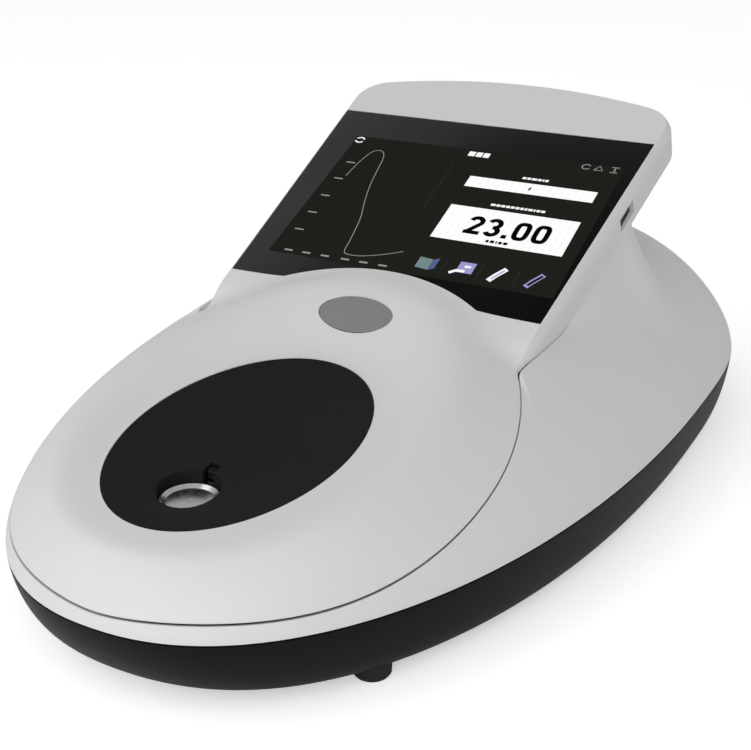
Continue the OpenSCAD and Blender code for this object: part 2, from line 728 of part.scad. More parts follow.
module port_seal() {
    color("black") translate([0, port_y, tube_z + seal_up]) rotate_extrude($fn = 72)
        translate([block_r + 0.05, 0]) square([hole_r - block_r - seal_gap, seal_h]);
}
bracket_w = 30;
bracket_l = 30;
bracket_wall = 2.5;
module port_bracket() {
    color("dimgray") difference() {
        translate([-bracket_w / 2, port_y - bracket_l / 2, floor_z])
            cube([bracket_w, bracket_l, flange_z - floor_z]);
        translate([-bracket_w / 2 + bracket_wall, port_y - bracket_l / 2 - 1, floor_z + bracket_wall])
            cube([bracket_w - 2 * bracket_wall, bracket_l + 2, flange_z - floor_z - 2 * bracket_wall]);
        translate([0, port_y, flange_z - bracket_wall - 1]) cylinder(d = 4 * fibre_d, h = bracket_wall + 2);
    }
}

// Chassis plate and what it carries
chassis_hw = 86;
chassis_y0 = -46;
chassis_y1 = 130;
chassis_step_y = 92;
chassis_front_cut = 14;
chassis_rear_cut = [12, 6];
chassis_tail_hw = 40;
plate_top = plate_z + plate_t;
plate_hole_d = 3.2;
plate_slot = [24, 12];
module chassis_plate() {
    side = [[chassis_hw - chassis_front_cut, chassis_y0], [chassis_hw, chassis_y0 + chassis_front_cut],
        [chassis_hw, chassis_step_y], [chassis_hw - chassis_rear_cut.x, chassis_step_y + chassis_rear_cut.y],
        [chassis_tail_hw, chassis_y1]];
    color("silver") translate([0, 0, plate_z]) difference() {
        linear_extrude(plate_t)
            polygon(concat(side, [for (i = [len(side) - 1:-1:0]) [-side[i].x, side[i].y]]));
        translate([0, 0, -1]) screw_holes(plate_at, plate_hole_d, plate_t + 2);
        translate([0, 0, -1]) screw_holes(case_at, case_boss_d + 1, plate_t + 2);
        for (x = [-30, 30])
            translate([x - plate_slot.x / 2, 12, -1]) cube([plate_slot.x, plate_slot.y, plate_t + 2]);
    }
}
screw_head_d = 5.4;
screw_head_h = 1.8;
plate_screw_len = 6;
board_screw_len = 5;
module pan_screw(len) {
    translate([0, 0, -len]) cylinder(d = screw_d, h = len);
    cylinder(d = screw_head_d, h = screw_head_h);
}
module chassis_screws() {
    color("silver") for (c = plate_at) translate([c.x, c.y, plate_top]) pan_screw(plate_screw_len);
}

// Main board on its standoffs
main_x = -62;
main_y = 34;
board_hole_in = 5;
standoff_h = 8;
standoff_d = 6;
standoff_floor = 2;
board_z = plate_top + standoff_h;
board_at = [for (x = [board_hole_in, main_w - board_hole_in], y = [board_hole_in, main_l - board_hole_in])
    [main_x + x, main_y + y]];
module board_standoffs() {
    color("gold") for (c = board_at) translate([c.x, c.y, plate_top]) difference() {
        cylinder(d = standoff_d, h = standoff_h, $fn = 6);
        translate([0, 0, standoff_floor]) cylinder(d = screw_d + 0.1, h = standoff_h);
    }
}
module main_board() {
    color("darkgreen") difference() {
        translate([main_x, main_y, board_z]) cube([main_w, main_l, board_t]);
        translate([0, 0, board_z - 1]) screw_holes(board_at, plate_hole_d, board_t + 2);
    }
}
module board_screws() {
    color("silver") for (c = board_at) translate([c.x, c.y, board_z + board_t]) pan_screw(board_screw_len);
}
header_y = 70;
header = [28, 6, 6];
chips = [[14, 20, 24, 24, 2.2], [50, 16, 14, 20, 1.6], [68, 16, 14, 20, 1.6], [46, 48, 18, 18, 2],
    [76, 50, 22, 10, 7], [14, 58, 12, 9, 1.6]];
module board_chips() {
    color("black") translate([main_x, main_y, board_z + board_t]) {
        for (c = chips)
            translate([c[0], c[1], 0]) cube([c[2], c[3], c[4]]);
        translate([-main_x - ribbon_shift - header.x / 2, header_y, 0]) cube(header);
    }
}

// Power board beside the main board
power_gap = 6;
power_x = main_x + main_w + power_gap;
power_y = main_y + 6;
power_w = 30;
power_l = 52;
power_h = 4;
power_post_in = 4;
power_post_d = 4;
cap_d = 10;
cap_h = 12;
cap_at = [[9, 14], [9, 32]];
module power_board() {
    color("darkgreen") translate([power_x, power_y, plate_top + power_h]) cube([power_w, power_l, board_t]);
    color("black") for (c = cap_at)
        translate([power_x + c.x, power_y + c.y, plate_top + power_h + board_t])
            cylinder(d = cap_d, h = cap_h);
    color("silver")
        for (x = [power_post_in, power_w - power_post_in], y = [power_post_in, power_l - power_post_in])
            translate([power_x + x, power_y + y, plate_top]) cylinder(d = power_post_d, h = power_h);
}

// Ribbon cable from the display board through the slab's back to the main board
ribbon_w = 24;
ribbon_t = 0.8;
ribbon_shift = 3;
ribbon_turn = 14;
ribbon_top = on_slab(0, cable_v - 1.5, plug_h - display_board_z);
ribbon_mid = on_slab(0, cable_v, slab_t + 2);
ribbon_y1 = main_y + header_y + header.y / 2;
ribbon_z1 = board_z + board_t + header.z + 0.2;
module ribbon_cable() {
    color("lightgray") translate([-ribbon_w / 2 - ribbon_shift, 0, 0])
        rotate([90, 0, 90]) linear_extrude(ribbon_w)
            polygon([[ribbon_top.y, ribbon_top.z - 0.1], [ribbon_top.y + ribbon_t, ribbon_top.z - 0.1],
                [ribbon_mid.y + ribbon_t, ribbon_mid.z], [ribbon_y1 + ribbon_t, ribbon_z1 + ribbon_turn],
                [ribbon_y1 + ribbon_t, ribbon_z1], [ribbon_y1, ribbon_z1],
                [ribbon_y1, ribbon_z1 + ribbon_turn - 0.2], [ribbon_mid.y, ribbon_mid.z - 0.4]]);
}

// Spectrometer bench: box, cover and the optics that stand in it
bench_x = -62;
bench_y = -38;
bench_w = 72;
bench_l = 60;
bench_wall = 3;
bench_cover_t = 2;
slit_x = 20;
fibre_up = 13;
fibre_z = plate_top + fibre_up;
module spectrometer_bench() {
    color("dimgray") difference() {
        translate([bench_x, bench_y, plate_top]) cube([bench_w, bench_l, bench_h]);
        translate([bench_x + bench_wall, bench_y + bench_wall, plate_top + bench_wall])
            cube([bench_w - 2 * bench_wall, bench_l - 2 * bench_wall, bench_h]);
        translate([bench_x + slit_x, bench_y - 1, fibre_z]) rotate([-90, 0, 0])
            cylinder(d = fibre_d + 0.1, h = bench_wall + 2);
    }
}
module bench_cover() {
    color("dimgray") translate([bench_x, bench_y, plate_top + bench_h])
        cube([bench_w, bench_l, bench_cover_t]);
}
optic_z = plate_top + bench_wall;
optic_h = bench_h - bench_wall - 3;
module optic(x, y, turn, w, t) {
    translate([bench_x + x, bench_y + y, optic_z]) rotate([0, 0, turn])
        translate([-w / 2, -t / 2, 0]) cube([w, t, optic_h]);
}
module entrance_slit() { color("black") optic(slit_x, 6, 0, 10, 1.2); }
module collimating_mirror() { color("white") optic(26, 50, 10, 16, 4); }
module diffraction_grating() { color("lightsteelblue") optic(44, 12, 170, 14, 5); }
module focusing_mirror() { color("white") optic(56, 48, -14, 18, 4); }
module detector_board() { color("darkgreen") optic(64, 22, 80, 30, board_t); }

// Flash lamp in its housing
lamp_x = 34;
lamp_y = -16;
lamp_d = 20;
lamp_len = 26;
lamp_fit = 0.1;
lamp_w = 32;
lamp_l = 34;
lamp_h = 26;
lamp_wall = 4;
lamp_y0 = lamp_y - lamp_l / 2;
module lamp_housing() {
    color("silver") difference() {
        translate([lamp_x - lamp_w / 2, lamp_y0, plate_top]) cube([lamp_w, lamp_l, lamp_h]);
        translate([lamp_x, lamp_y0 - 1, fibre_z]) rotate([-90, 0, 0])
            cylinder(d = fibre_d + 0.1, h = lamp_wall + 2);
        translate([lamp_x, lamp_y0 + lamp_wall, fibre_z]) rotate([-90, 0, 0])
            cylinder(d = lamp_d + 2 * lamp_fit, h = lamp_l);
    }
}
module xenon_lamp() {
    color("lightcyan") translate([lamp_x, lamp_y0 + lamp_wall + lamp_fit, fibre_z]) rotate([-90, 0, 0])
        cylinder(d = lamp_d, h = lamp_len);
}
module lamp_board() {
    color("darkgreen") translate([lamp_x - lamp_w / 2 + 3, lamp_y0 + lamp_l + 0.1, plate_top + 1])
        cube([lamp_w - 6, board_t, lamp_h - 2]);
}

// Optical fibres, swept along routes of round points
lamp_route = [[lamp_x, lamp_y0 + 2, fibre_z], [lamp_x, lamp_y0 - 12, fibre_z], [31, -64, 27],
    [22, -84, 22], [12, -102, 18], [6, -116, 17], [2, -125, 20], [fibre_x, port_y, 26],
    [fibre_x, port_y, flange_z + fibre_in - 1]];
detector_route = [[bench_x + slit_x, bench_y + 2, fibre_z], [bench_x + slit_x, bench_y - 14, fibre_z],
    [-38, -68, 27], [-26, -88, 22], [-13, -104, 18], [-6, -117, 17], [-2, -125, 20],
    [-fibre_x, port_y, 26], [-fibre_x, port_y, flange_z + fibre_in - 1]];
function spline(p, t) =
    let (n = len(p) - 1, i = min(n - 1, floor(t)), u = t - i,
        a = p[max(0, i - 1)], b = p[i], c = p[i + 1], d = p[min(n, i + 2)])
    0.5 * (2 * b + (c - a) * u + (2 * a - 5 * b + 4 * c - d) * u * u + (3 * b - a - 3 * c + d) * u * u * u);
module fibre(route, rings) {
    n = len(route) - 1;
    loft([for (i = [0:rings])
        let (t = n * i / rings,
            c = spline(route, t),
            d = unit(spline(route, min(n, t + 0.05)) - spline(route, max(0, t - 0.05))),
            side = unit(cross(d, [0.31, 0.95, 0.05])),
            up = cross(side, d))
        [for (k = [0:7]) c + fibre_d / 2 * (side * cos(k * 45) - up * sin(k * 45))]]);
}
module lamp_fibre() { color("orange") fibre(lamp_route, 26); }
module detector_fibre() { color("orange") fibre(detector_route, 26); }

// Rear panel with its sockets and switch
panel_t = 1.6;
panel_fit = 0.3;
dc_x = -30;
dc_d = 8;
dc_bore = 6.3;
dc_pin_d = 2;
dc_len = 13;
dc_body = [9, 11];
dc_depth = 9;
usb_rear_x = [-14, 4];
usb_rear_w = 13.1;
usb_rear_h = 5.7;
usb_rear_len = 14;
switch_x = 28;
switch_w = 19;
switch_h = 12.6;
switch_deep = 11;
switch_lip = 1;
switch_lip_t = 1.2;
switch_wall_x = 1;
switch_wall_z = 1.4;
module rear_panel() {
    color("dimgray") difference() {
        translate([-panel_w / 2 + panel_fit, panel_y, panel_z - panel_h / 2 + panel_fit])
            cube([panel_w - 2 * panel_fit, panel_t, panel_h - 2 * panel_fit]);
        translate([dc_x, panel_y - 1, panel_z]) rotate([-90, 0, 0]) cylinder(d = dc_d + 0.2, h = panel_t + 2);
        for (x = usb_rear_x)
            translate([x - usb_rear_w / 2 - 0.1, panel_y - 1, panel_z - usb_rear_h / 2 - 0.1])
                cube([usb_rear_w + 0.2, panel_t + 2, usb_rear_h + 0.2]);
        translate([switch_x - switch_w / 2 - 0.1, panel_y - 1, panel_z - switch_h / 2 - 0.1])
            cube([switch_w + 0.2, panel_t + 2, switch_h + 0.2]);
    }
}
module dc_inlet() {
    color("black") difference() {
        union() {
            translate([dc_x - dc_body.x / 2, panel_y - dc_len, panel_z - dc_body.y / 2])
                cube([dc_body.x, dc_len - 0.1, dc_body.y]);
            translate([dc_x, panel_y - 1, panel_z]) rotate([-90, 0, 0]) cylinder(d = dc_d, h = panel_t + 1);
        }
        translate([dc_x, panel_y - dc_depth + 1, panel_z]) rotate([-90, 0, 0])
            cylinder(d = dc_bore, h = 2 * dc_len);
    }
    color("silver") translate([dc_x, panel_y - dc_depth, panel_z]) rotate([-90, 0, 0])
        cylinder(d = dc_pin_d, h = dc_depth);
}
module rear_usb_sockets() {
    color("silver") for (x = usb_rear_x)
        translate([x + usb_rear_w / 2, panel_y + panel_t - usb_rear_len, panel_z - usb_rear_h / 2])
            rotate([0, 0, 90]) usb_shell(usb_rear_w, usb_rear_h, usb_rear_len);
}
rocker_a = 7;
rocker_in = 5;
rocker_y = panel_y - rocker_in;
rocker_pin_d = 2;
rocker_side = 0.3;
module power_switch_frame() {
    color("black") difference() {
        union() {
            translate([switch_x - switch_w / 2, panel_y - switch_deep, panel_z - switch_h / 2])
                cube([switch_w, switch_deep + panel_t, switch_h]);
            translate([switch_x - switch_w / 2 - switch_lip, panel_y + panel_t,
                panel_z - switch_h / 2 - switch_lip])
                cube([switch_w + 2 * switch_lip, switch_lip_t, switch_h + 2 * switch_lip]);
        }
        translate([switch_x - switch_w / 2 + switch_wall_x, panel_y - switch_deep + switch_wall_z,
            panel_z - switch_h / 2 + switch_wall_z])
            cube([switch_w - 2 * switch_wall_x, 2 * switch_deep, switch_h - 2 * switch_wall_z]);
        translate([switch_x, rocker_y, panel_z - switch_h / 2 - 1])
            cylinder(d = rocker_pin_d + 0.02, h = switch_h + 2);
    }
}
module rocker_shape() {
    polygon([[-7, 9.4], [-7, 4], [-3, -2], [3, -2], [7, 4], [7, 9.4], [3.6, 8.2], [0, 7.8], [-3.6, 8.2]]);
}
module power_rocker() {
    low = switch_wall_z + rocker_side;
    color("black") translate([switch_x, rocker_y, panel_z - switch_h / 2 + low]) rotate([0, 0, rocker_a])
        difference() {
            linear_extrude(switch_h - 2 * low) rocker_shape();
            translate([0, 0, -1]) cylinder(r = rocker_pin_d / 2 + pin_fit, h = switch_h);
        }
}
module rocker_pin() {
    color("silver") translate([switch_x, rocker_y, panel_z - switch_h / 2])
        cylinder(d = rocker_pin_d, h = switch_h);
}

// Feet and the screws from below
foot_hole_d = 3.2;
foot_recess_d = 6.2;
foot_recess_h = 2;
low_head_d = 5.6;
foot_head_h = 1.6;
foot_screw_len = 8;
case_head_h = 2.2;
case_screw_len = 25;
case_recess_h = 4;
module foot(c) {
    color([0.12, 0.12, 0.12]) translate([c.x, c.y, 0]) difference() {
        rotate_extrude() polygon([[0, 0], [foot_d / 2 - 0.8, 0], [foot_d / 2 - 0.2, 0.8],
            [foot_d / 2, foot_h], [0, foot_h]]);
        translate([0, 0, -1]) cylinder(d = foot_hole_d, h = foot_h + 2);
        translate([0, 0, -1]) cylinder(d = foot_recess_d, h = foot_recess_h + 1);
    }
}
module foot_front_right() foot(foot_at[0]);
module foot_front_left() foot(foot_at[1]);
module foot_rear_right() foot(foot_at[2]);
module foot_rear_left() foot(foot_at[3]);

// A screw with its head below, pushed up from the given height
module low_screw(c, z, len, head_h) {
    translate([c.x, c.y, z - head_h / 2]) cylinder(d = screw_d, h = len + head_h / 2);
    translate([c.x, c.y, z - head_h]) cylinder(d = low_head_d, h = head_h);
}
module foot_screws() {
    color("silver") for (c = foot_at) low_screw(c, foot_recess_h - 0.02, foot_screw_len, foot_head_h);
}
module case_screws() {
    color("silver") for (c = case_at) low_screw(c, foot_h + case_recess_h, case_screw_len, case_head_h);
}

base_tray();
main_shell();
front_cover();
screen_back_cover();
screen_glass();
lcd_panel();
display_frame();
display_board();
side_usb_port();
badge();
dish_insert();
sample_lid();
lid_mirror();
lid_hinge_pin();
sample_block();
sample_window();
port_seal();
port_bracket();
chassis_plate();
chassis_screws();
main_board();
board_chips();
board_standoffs();
board_screws();
power_board();
ribbon_cable();
spectrometer_bench();
bench_cover();
entrance_slit();
collimating_mirror();
diffraction_grating();
focusing_mirror();
detector_board();
lamp_housing();
xenon_lamp();
lamp_board();
lamp_fibre();
detector_fibre();
rear_panel();
dc_inlet();
rear_usb_sockets();
power_switch_frame();
power_rocker();
rocker_pin();
foot_front_right();
foot_front_left();
foot_rear_right();
foot_rear_left();
foot_screws();
case_screws();
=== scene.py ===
import json
import math

import bpy
import numpy as np
from mathutils import Matrix, Vector


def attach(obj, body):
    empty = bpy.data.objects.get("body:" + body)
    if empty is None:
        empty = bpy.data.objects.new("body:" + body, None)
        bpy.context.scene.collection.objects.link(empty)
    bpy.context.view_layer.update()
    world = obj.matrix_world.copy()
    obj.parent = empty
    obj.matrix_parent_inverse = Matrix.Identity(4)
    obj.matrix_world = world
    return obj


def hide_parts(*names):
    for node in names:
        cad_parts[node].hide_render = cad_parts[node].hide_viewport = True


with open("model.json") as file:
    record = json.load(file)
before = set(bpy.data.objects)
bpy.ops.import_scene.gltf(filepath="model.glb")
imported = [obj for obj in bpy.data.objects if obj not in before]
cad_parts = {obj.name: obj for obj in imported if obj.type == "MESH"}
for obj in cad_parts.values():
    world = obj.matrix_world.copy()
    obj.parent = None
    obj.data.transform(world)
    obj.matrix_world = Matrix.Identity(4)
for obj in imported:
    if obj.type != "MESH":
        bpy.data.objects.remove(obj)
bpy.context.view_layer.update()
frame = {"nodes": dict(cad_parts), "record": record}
MM = 0.001

# Sizes of the casing in mm, the same as the part's own
SHELL_W = 216
NOSE_LEN = 231.5
TAIL_LEN = 121.5
NOSE_POWER = 2.2
TAIL_POWER = 3
FOOT_H = 6
TRAY_H = 23
DOME_MID = 50.7
DOME_NOSE = 91.4
DOME_TAIL = 98.2
DOME_ROUND = 1.73
DOME_FULL = 1.5
WALL = 2.4
PARTING = 0.3
POD_HW = 79
POD_FRONT = 95
POD_REAR = 88
NOSE_STRIP = 1.5
TILT = math.radians(22.8)
SCREEN_AHEAD = 63.5
SCREEN_RISE = 45.3
GLASS_TOP = 138
GLASS_LOW = 127.4
GLASS_H = 109.7
GLASS_T = 1.6
ARC_HW = 40
ARC_H = 11.7
BEZEL = 0.6
SLAB_T = 16
SLAB_CROWN = 141.7
SLAB_ARC = 235
SLAB_CORNER = 14
CORNER_UP = 120
SIDE_BULGE = 1.9
DISH_HW = 38.2
DISH_HL = 52.9
DISH_BACK = 77
DISH_SLOPE = math.radians(7)
DISH_RISE = 26.5
DISH_DEPTH = 2
LID_D = 19
LID_GAP = 0.4
LID_AHEAD = 28.7
LID_SINK = 4.9
USB_UP = 74
USB_W = 12.6
USB_H = 5.2
USB_DEEP = 8.2
BADGE_A = 14.5
BADGE_B = 8

# Places that follow from them, in mm and radians
SEAM_Z = FOOT_H + TRAY_H
HALF_W = SHELL_W / 2
WIDE_Y = (NOSE_LEN - TAIL_LEN) / 2
NOSE_Y = WIDE_Y - NOSE_LEN
TAIL_Y = WIDE_Y + TAIL_LEN
DISH_Y = NOSE_Y + DISH_BACK
SCREEN_Y = WIDE_Y - SCREEN_AHEAD
SCREEN_Z = SEAM_Z + SCREEN_RISE
POD_Y = NOSE_Y + NOSE_STRIP + POD_FRONT
PORT_Y = DISH_Y - LID_AHEAD
COS_T = math.cos(TILT)
SIN_T = math.sin(TILT)
FLARE = (GLASS_TOP - GLASS_LOW) / 2 / GLASS_H


def egg(x, y):
    """Share of the way from the middle of the widest line to the casing's outline."""
    front = y < WIDE_Y
    power = np.where(front, NOSE_POWER, TAIL_POWER)
    length = np.where(front, NOSE_LEN, TAIL_LEN)
    return ((np.abs(x) / HALF_W) ** power + (np.abs(y - WIDE_Y) / length) ** power) ** (1 / power)


def crown(y):
    """Height of the dome over the parting line, along its middle."""
    front = y < WIDE_Y
    t = (y - WIDE_Y) / np.where(front, NOSE_LEN, TAIL_LEN)
    return DOME_MID + (np.where(front, DOME_NOSE, DOME_TAIL) - DOME_MID) * t * t


def dome_z(x, y):
    """Height of the dome that the shell and the pod share."""
    inside = np.clip(1 - np.minimum(egg(x, y), 1) ** DOME_ROUND, 0, None)
    return SEAM_Z + crown(y) * inside ** (1 / DOME_FULL)


def rim_z(y):
    """Height of the sloping plane of the dish's rim."""
    return SEAM_Z + DISH_RISE + (y - DISH_Y) * math.tan(DISH_SLOPE)


def dish_rho(x, y):
    """Distance from the dish's middle as a share of its outline, 1 at the rim."""
    return np.hypot(x / DISH_HW, (y - DISH_Y) / DISH_HL)


def ease(t):
    """Smooth step from 0 to 1."""
    c = np.clip(t, 0, 1)
    return c * c * (3 - 2 * c)


def soft_max(a, b, e):
    """The larger of two values, with a fillet of size e where they cross."""
    return (a + b + np.sqrt((a - b) ** 2 + e * e)) / 2


# Soft changes of the front cover: sunk rim round the dish, fillet under the glass, rise at the kink
SINK_SOFT = 1.5
SINK_REACH = 0.8
FILLET_SOFT = 3.2
RISE_LEN = 14
KINK_V = -23


def pod_z(x, y):
    """The dome, drawn down to the rim's slope near the dish."""
    z = dome_z(x, y)
    over = soft_max(z - rim_z(y), 0, SINK_SOFT)
    return z - over * (1 - ease((dish_rho(x, y) - 1) / SINK_REACH))


def on_slab(x, v, d):
    """A point of the screen slab: v runs up its face, d goes down into it."""
    x = np.asarray(x, float)
    return np.stack(np.broadcast_arrays(
        x, SCREEN_Y + v * COS_T + d * SIN_T, SCREEN_Z + v * SIN_T - d * COS_T), axis=-1)


def face_z(y):
    return SCREEN_Z + (y - SCREEN_Y) * math.tan(TILT)


def back_z(y):
    return face_z(y) - SLAB_T / COS_T


def edge_x(v):
    """Half width of the slab's face at v."""
    return GLASS_LOW / 2 + BEZEL + FLARE * v


# Kink where the oval pod runs into the slab's wall, and the slab's upper corners
KINK_X = edge_x(KINK_V) + SIDE_BULGE
KINK_A = math.pi - math.asin(KINK_X / POD_HW)
KINK_Y = POD_Y - POD_REAR * math.cos(KINK_A)
CORNER_X = edge_x(CORNER_UP) - SLAB_CORNER
ARC_V = SLAB_CROWN - SLAB_ARC
CORNER_V = ARC_V + math.sqrt((SLAB_ARC - SLAB_CORNER) ** 2 - CORNER_X ** 2)
CORNER_A = math.atan2(CORNER_V - ARC_V, CORNER_X)


def cover_z(x, y):
    """Height of the front cover, with the slab's face from the kink on."""
    z = pod_z(x, y)
    both = soft_max(z, face_z(y), FILLET_SOFT)
    return z + (both - z) * ease((y - KINK_Y) / RISE_LEN)


def unit(v):
    return v / np.linalg.norm(v, axis=-1, keepdims=True)


def mirrored(half):
    """Close a half outline from nose to tail with its mirror image."""
    other = half[:, -2:0:-1].copy()
    other[..., 0] *= -1
    return np.concatenate([half, other], axis=1)


def ring_normals(g):
    """Outward normals of a surface given as rings of points."""
    along = np.gradient(g, axis=0)
    around = np.roll(g, -1, axis=1) - np.roll(g, 1, axis=1)
    return unit(np.cross(along, around))


def add_mesh(name, points, faces, scale=MM):
    mesh = bpy.data.meshes.new(name)
    mesh.from_pydata([tuple(float(c) * scale for c in p) for p in points], [], faces)
    mesh.validate()
    mesh.update()
    obj = bpy.data.objects.new(name, mesh)
    bpy.context.scene.collection.objects.link(obj)
    return obj


def loft(name, rings, ring_shaped=False):
    """A solid through closed rings, joined end to end or capped at both ends."""
    m, n = rings.shape[:2]
    faces = []
    for i in range(m if ring_shaped else m - 1):
        k = (i + 1) % m
        for j in range(n):
            q = (j + 1) % n
            faces.append((i * n + j, k * n + j, k * n + q, i * n + q))
    if not ring_shaped:
        faces.append(tuple(range(n)))
        faces.append(tuple((m - 1) * n + j for j in range(n - 1, -1, -1)))
    return add_mesh(name, rings.reshape(-1, 3), faces)


def prism(name, outline, low, high):
    """A straight prism over a counter-clockwise outline."""
    n = len(outline)
    points = [(x, y, low) for x, y in outline] + [(x, y, high) for x, y in outline]
    faces = [tuple(range(n - 1, -1, -1)), tuple(range(n, 2 * n))]
    faces += [(j, (j + 1) % n, n + (j + 1) % n, n + j) for j in range(n)]
    return add_mesh(name, points, faces)


def cylinder(name, x, y, low, high, radius, sides=48):
    turns = [2 * math.pi * k / sides for k in range(sides)]
    return prism(name, [(x + radius * math.cos(a), y + radius * math.sin(a)) for a in turns], low, high)


def block(name, low, high):
    outline = [(low[0], low[1]), (high[0], low[1]), (high[0], high[1]), (low[0], high[1])]
    return prism(name, outline, low[2], high[2])


def move(obj, matrix):
    """Bake a placement into a mesh, so the object itself stays at the origin."""
    obj.data.transform(matrix)
    obj.data.update()
    return obj


def cut(obj, tools, operation="DIFFERENCE"):
    """Cut the tools off a mesh, or join them to it, and use them up."""
    for tool in tools:
        mod = obj.modifiers.new("cut", "BOOLEAN")
        mod.object = tool
        mod.operation = operation
        mod.solver = "MANIFOLD"
        apply_modifiers(obj)
        bpy.data.objects.remove(tool)
    return obj


def apply_modifiers(obj):
    depsgraph = bpy.context.evaluated_depsgraph_get()
    mesh = bpy.data.meshes.new_from_object(obj.evaluated_get(depsgraph))
    obj.modifiers.clear()
    old = obj.data
    obj.data = mesh
    bpy.data.meshes.remove(old)


def smooth(obj, angle):
    """Smooth shading, with edges kept sharp that turn by more than the angle."""
    obj.data.shade_smooth()
    obj.data.set_sharp_from_angle(angle=math.radians(angle))
    return obj


# Frames that carry pieces on slopes
SCREEN = Matrix.Translation(Vector((0, SCREEN_Y, SCREEN_Z)) * MM) @ Matrix.Rotation(TILT, 4, "X")
BADGE_AHEAD = 16.7
BADGE_SPAN = 4
BADGE_Y = SCREEN_Y - BADGE_AHEAD
BADGE_Z = float(cover_z(0.0, BADGE_Y))
BADGE_CLIMB = float(cover_z(0.0, BADGE_Y + BADGE_SPAN / 2) - cover_z(0.0, BADGE_Y - BADGE_SPAN / 2))
BADGE_SLOPE = math.atan2(BADGE_CLIMB, BADGE_SPAN)
BADGE = Matrix.Translation(Vector((0, BADGE_Y, BADGE_Z)) * MM) @ Matrix.Rotation(BADGE_SLOPE, 4, "X")


def glass_outline(grow, steps=96):
    """The cover glass with the arc in its lower edge, counter-clockwise."""
    radius = (ARC_HW ** 2 + ARC_H ** 2) / 2 / ARC_H - grow
    centre = ARC_H - radius - grow
    half = math.acos((-grow - centre) / radius)
    low = GLASS_LOW / 2 + grow - FLARE * grow
    top = GLASS_TOP / 2 + grow + FLARE * grow
    hollow = [(-radius * math.sin(a), centre + radius * math.cos(a))
              for a in np.linspace(half, -half, steps)]
    return [(-top, GLASS_H + grow), (-low, -grow)] + hollow + [(low, -grow), (top, GLASS_H + grow)]


# Materials: scales per metre, depths in metres, gloss as shares of a roughness or as roughness
NOISE_RANGE = (0.3, 0.7)
SLOW_SCALE = 18
GRAIN_DEPTH = 0.00006
GLOSS_SPREAD = 0.05
BRUSH_DEPTH = 0.00002
BRUSH_DARK = 0.9
BRUSH_GLOSS = (0.75, 1.3)
LID_SCALE = 500
LID_DARK = 0.93
LID_GLOSS = (0.2, 0.28)
# Painted shade: the lid's arm turns near black from this far past the disc's edge, in mm
ARM_SHADE_START = 0.02
PIXEL_ROW = 0.00042
PIXEL_DIM = 0.96
WAVES_PER_SCALE = 20
SMUDGE = (60, 5, 0.65)
SMUDGE_GLOSS = (0.7, 1.4)
# Painted shade: spans in mm along x and z over which the glass darkens toward its right and its top
GLASS_SHADE_X = (-72, 20)
GLASS_SHADE_Z = (84, 132)
SILICA_TINT = (0.92, 0.96, 1, 1)
SILICA_IOR = 1.46
SILICA_SCALE = 200
SILICA_GLOSS = (0.01, 0.04)


def node_material(name):
    """A new material with its node tree and its main shader."""
    mat = bpy.data.materials.new(name)
    mat.use_nodes = True
    tree = mat.node_tree
    return mat, tree, tree.nodes["Principled BSDF"]


def noise(tree, scale, detail, rough=0.5, coords=None):
    coords = coords or tree.nodes.new("ShaderNodeTexCoord").outputs["Object"]
    tex = tree.nodes.new("ShaderNodeTexNoise")
    tex.inputs["Scale"].default_value = scale
    tex.inputs["Detail"].default_value = detail
    tex.inputs["Roughness"].default_value = rough
    tree.links.new(coords, tex.inputs["Vector"])
    return tex.outputs["Fac"]


def spread(tree, value, low, high):
    """Map a noise value from its usual range onto another."""
    node = tree.nodes.new("ShaderNodeMapRange")
    node.inputs["From Min"].default_value = NOISE_RANGE[0]
    node.inputs["From Max"].default_value = NOISE_RANGE[1]
    node.inputs["To Min"].default_value = low
    node.inputs["To Max"].default_value = high
    tree.links.new(value, node.inputs["Value"])
    return node.outputs["Result"]


def blend_colour(tree, value, a, b):
    node = tree.nodes.new("ShaderNodeMix")
    node.data_type = "RGBA"
    node.inputs["A"].default_value = (*a, 1)
    node.inputs["B"].default_value = (*b, 1)
    tree.links.new(value, node.inputs["Factor"])
    return node.outputs["Result"]


def add_bump(tree, shader, height, strength, distance):
    node = tree.nodes.new("ShaderNodeBump")
    node.inputs["Strength"].default_value = strength
    node.inputs["Distance"].default_value = distance
    tree.links.new(height, node.inputs["Height"])
    tree.links.new(node.outputs["Normal"], shader.inputs["Normal"])


def plastic(name, colour, rough, grain=2600, bump=0.12, vary=0.04, spec=0.5):
    """Moulded plastic: fine spark texture, slow changes of gloss and tone."""
    mat, tree, bsdf = node_material(name)
    slow = noise(tree, SLOW_SCALE, 2)
    fine = noise(tree, grain, 2)
    darker = tuple(c * (1 - vary) for c in colour)
    lighter = tuple(min(1, c * (1 + vary)) for c in colour)
    tone = spread(tree, slow, 0, 1)
    tree.links.new(blend_colour(tree, tone, darker, lighter), bsdf.inputs["Base Color"])
    tree.links.new(spread(tree, fine, rough - GLOSS_SPREAD, rough + GLOSS_SPREAD), bsdf.inputs["Roughness"])
    bsdf.inputs["Specular IOR Level"].default_value = spec
    add_bump(tree, bsdf, fine, bump, GRAIN_DEPTH)
    return mat


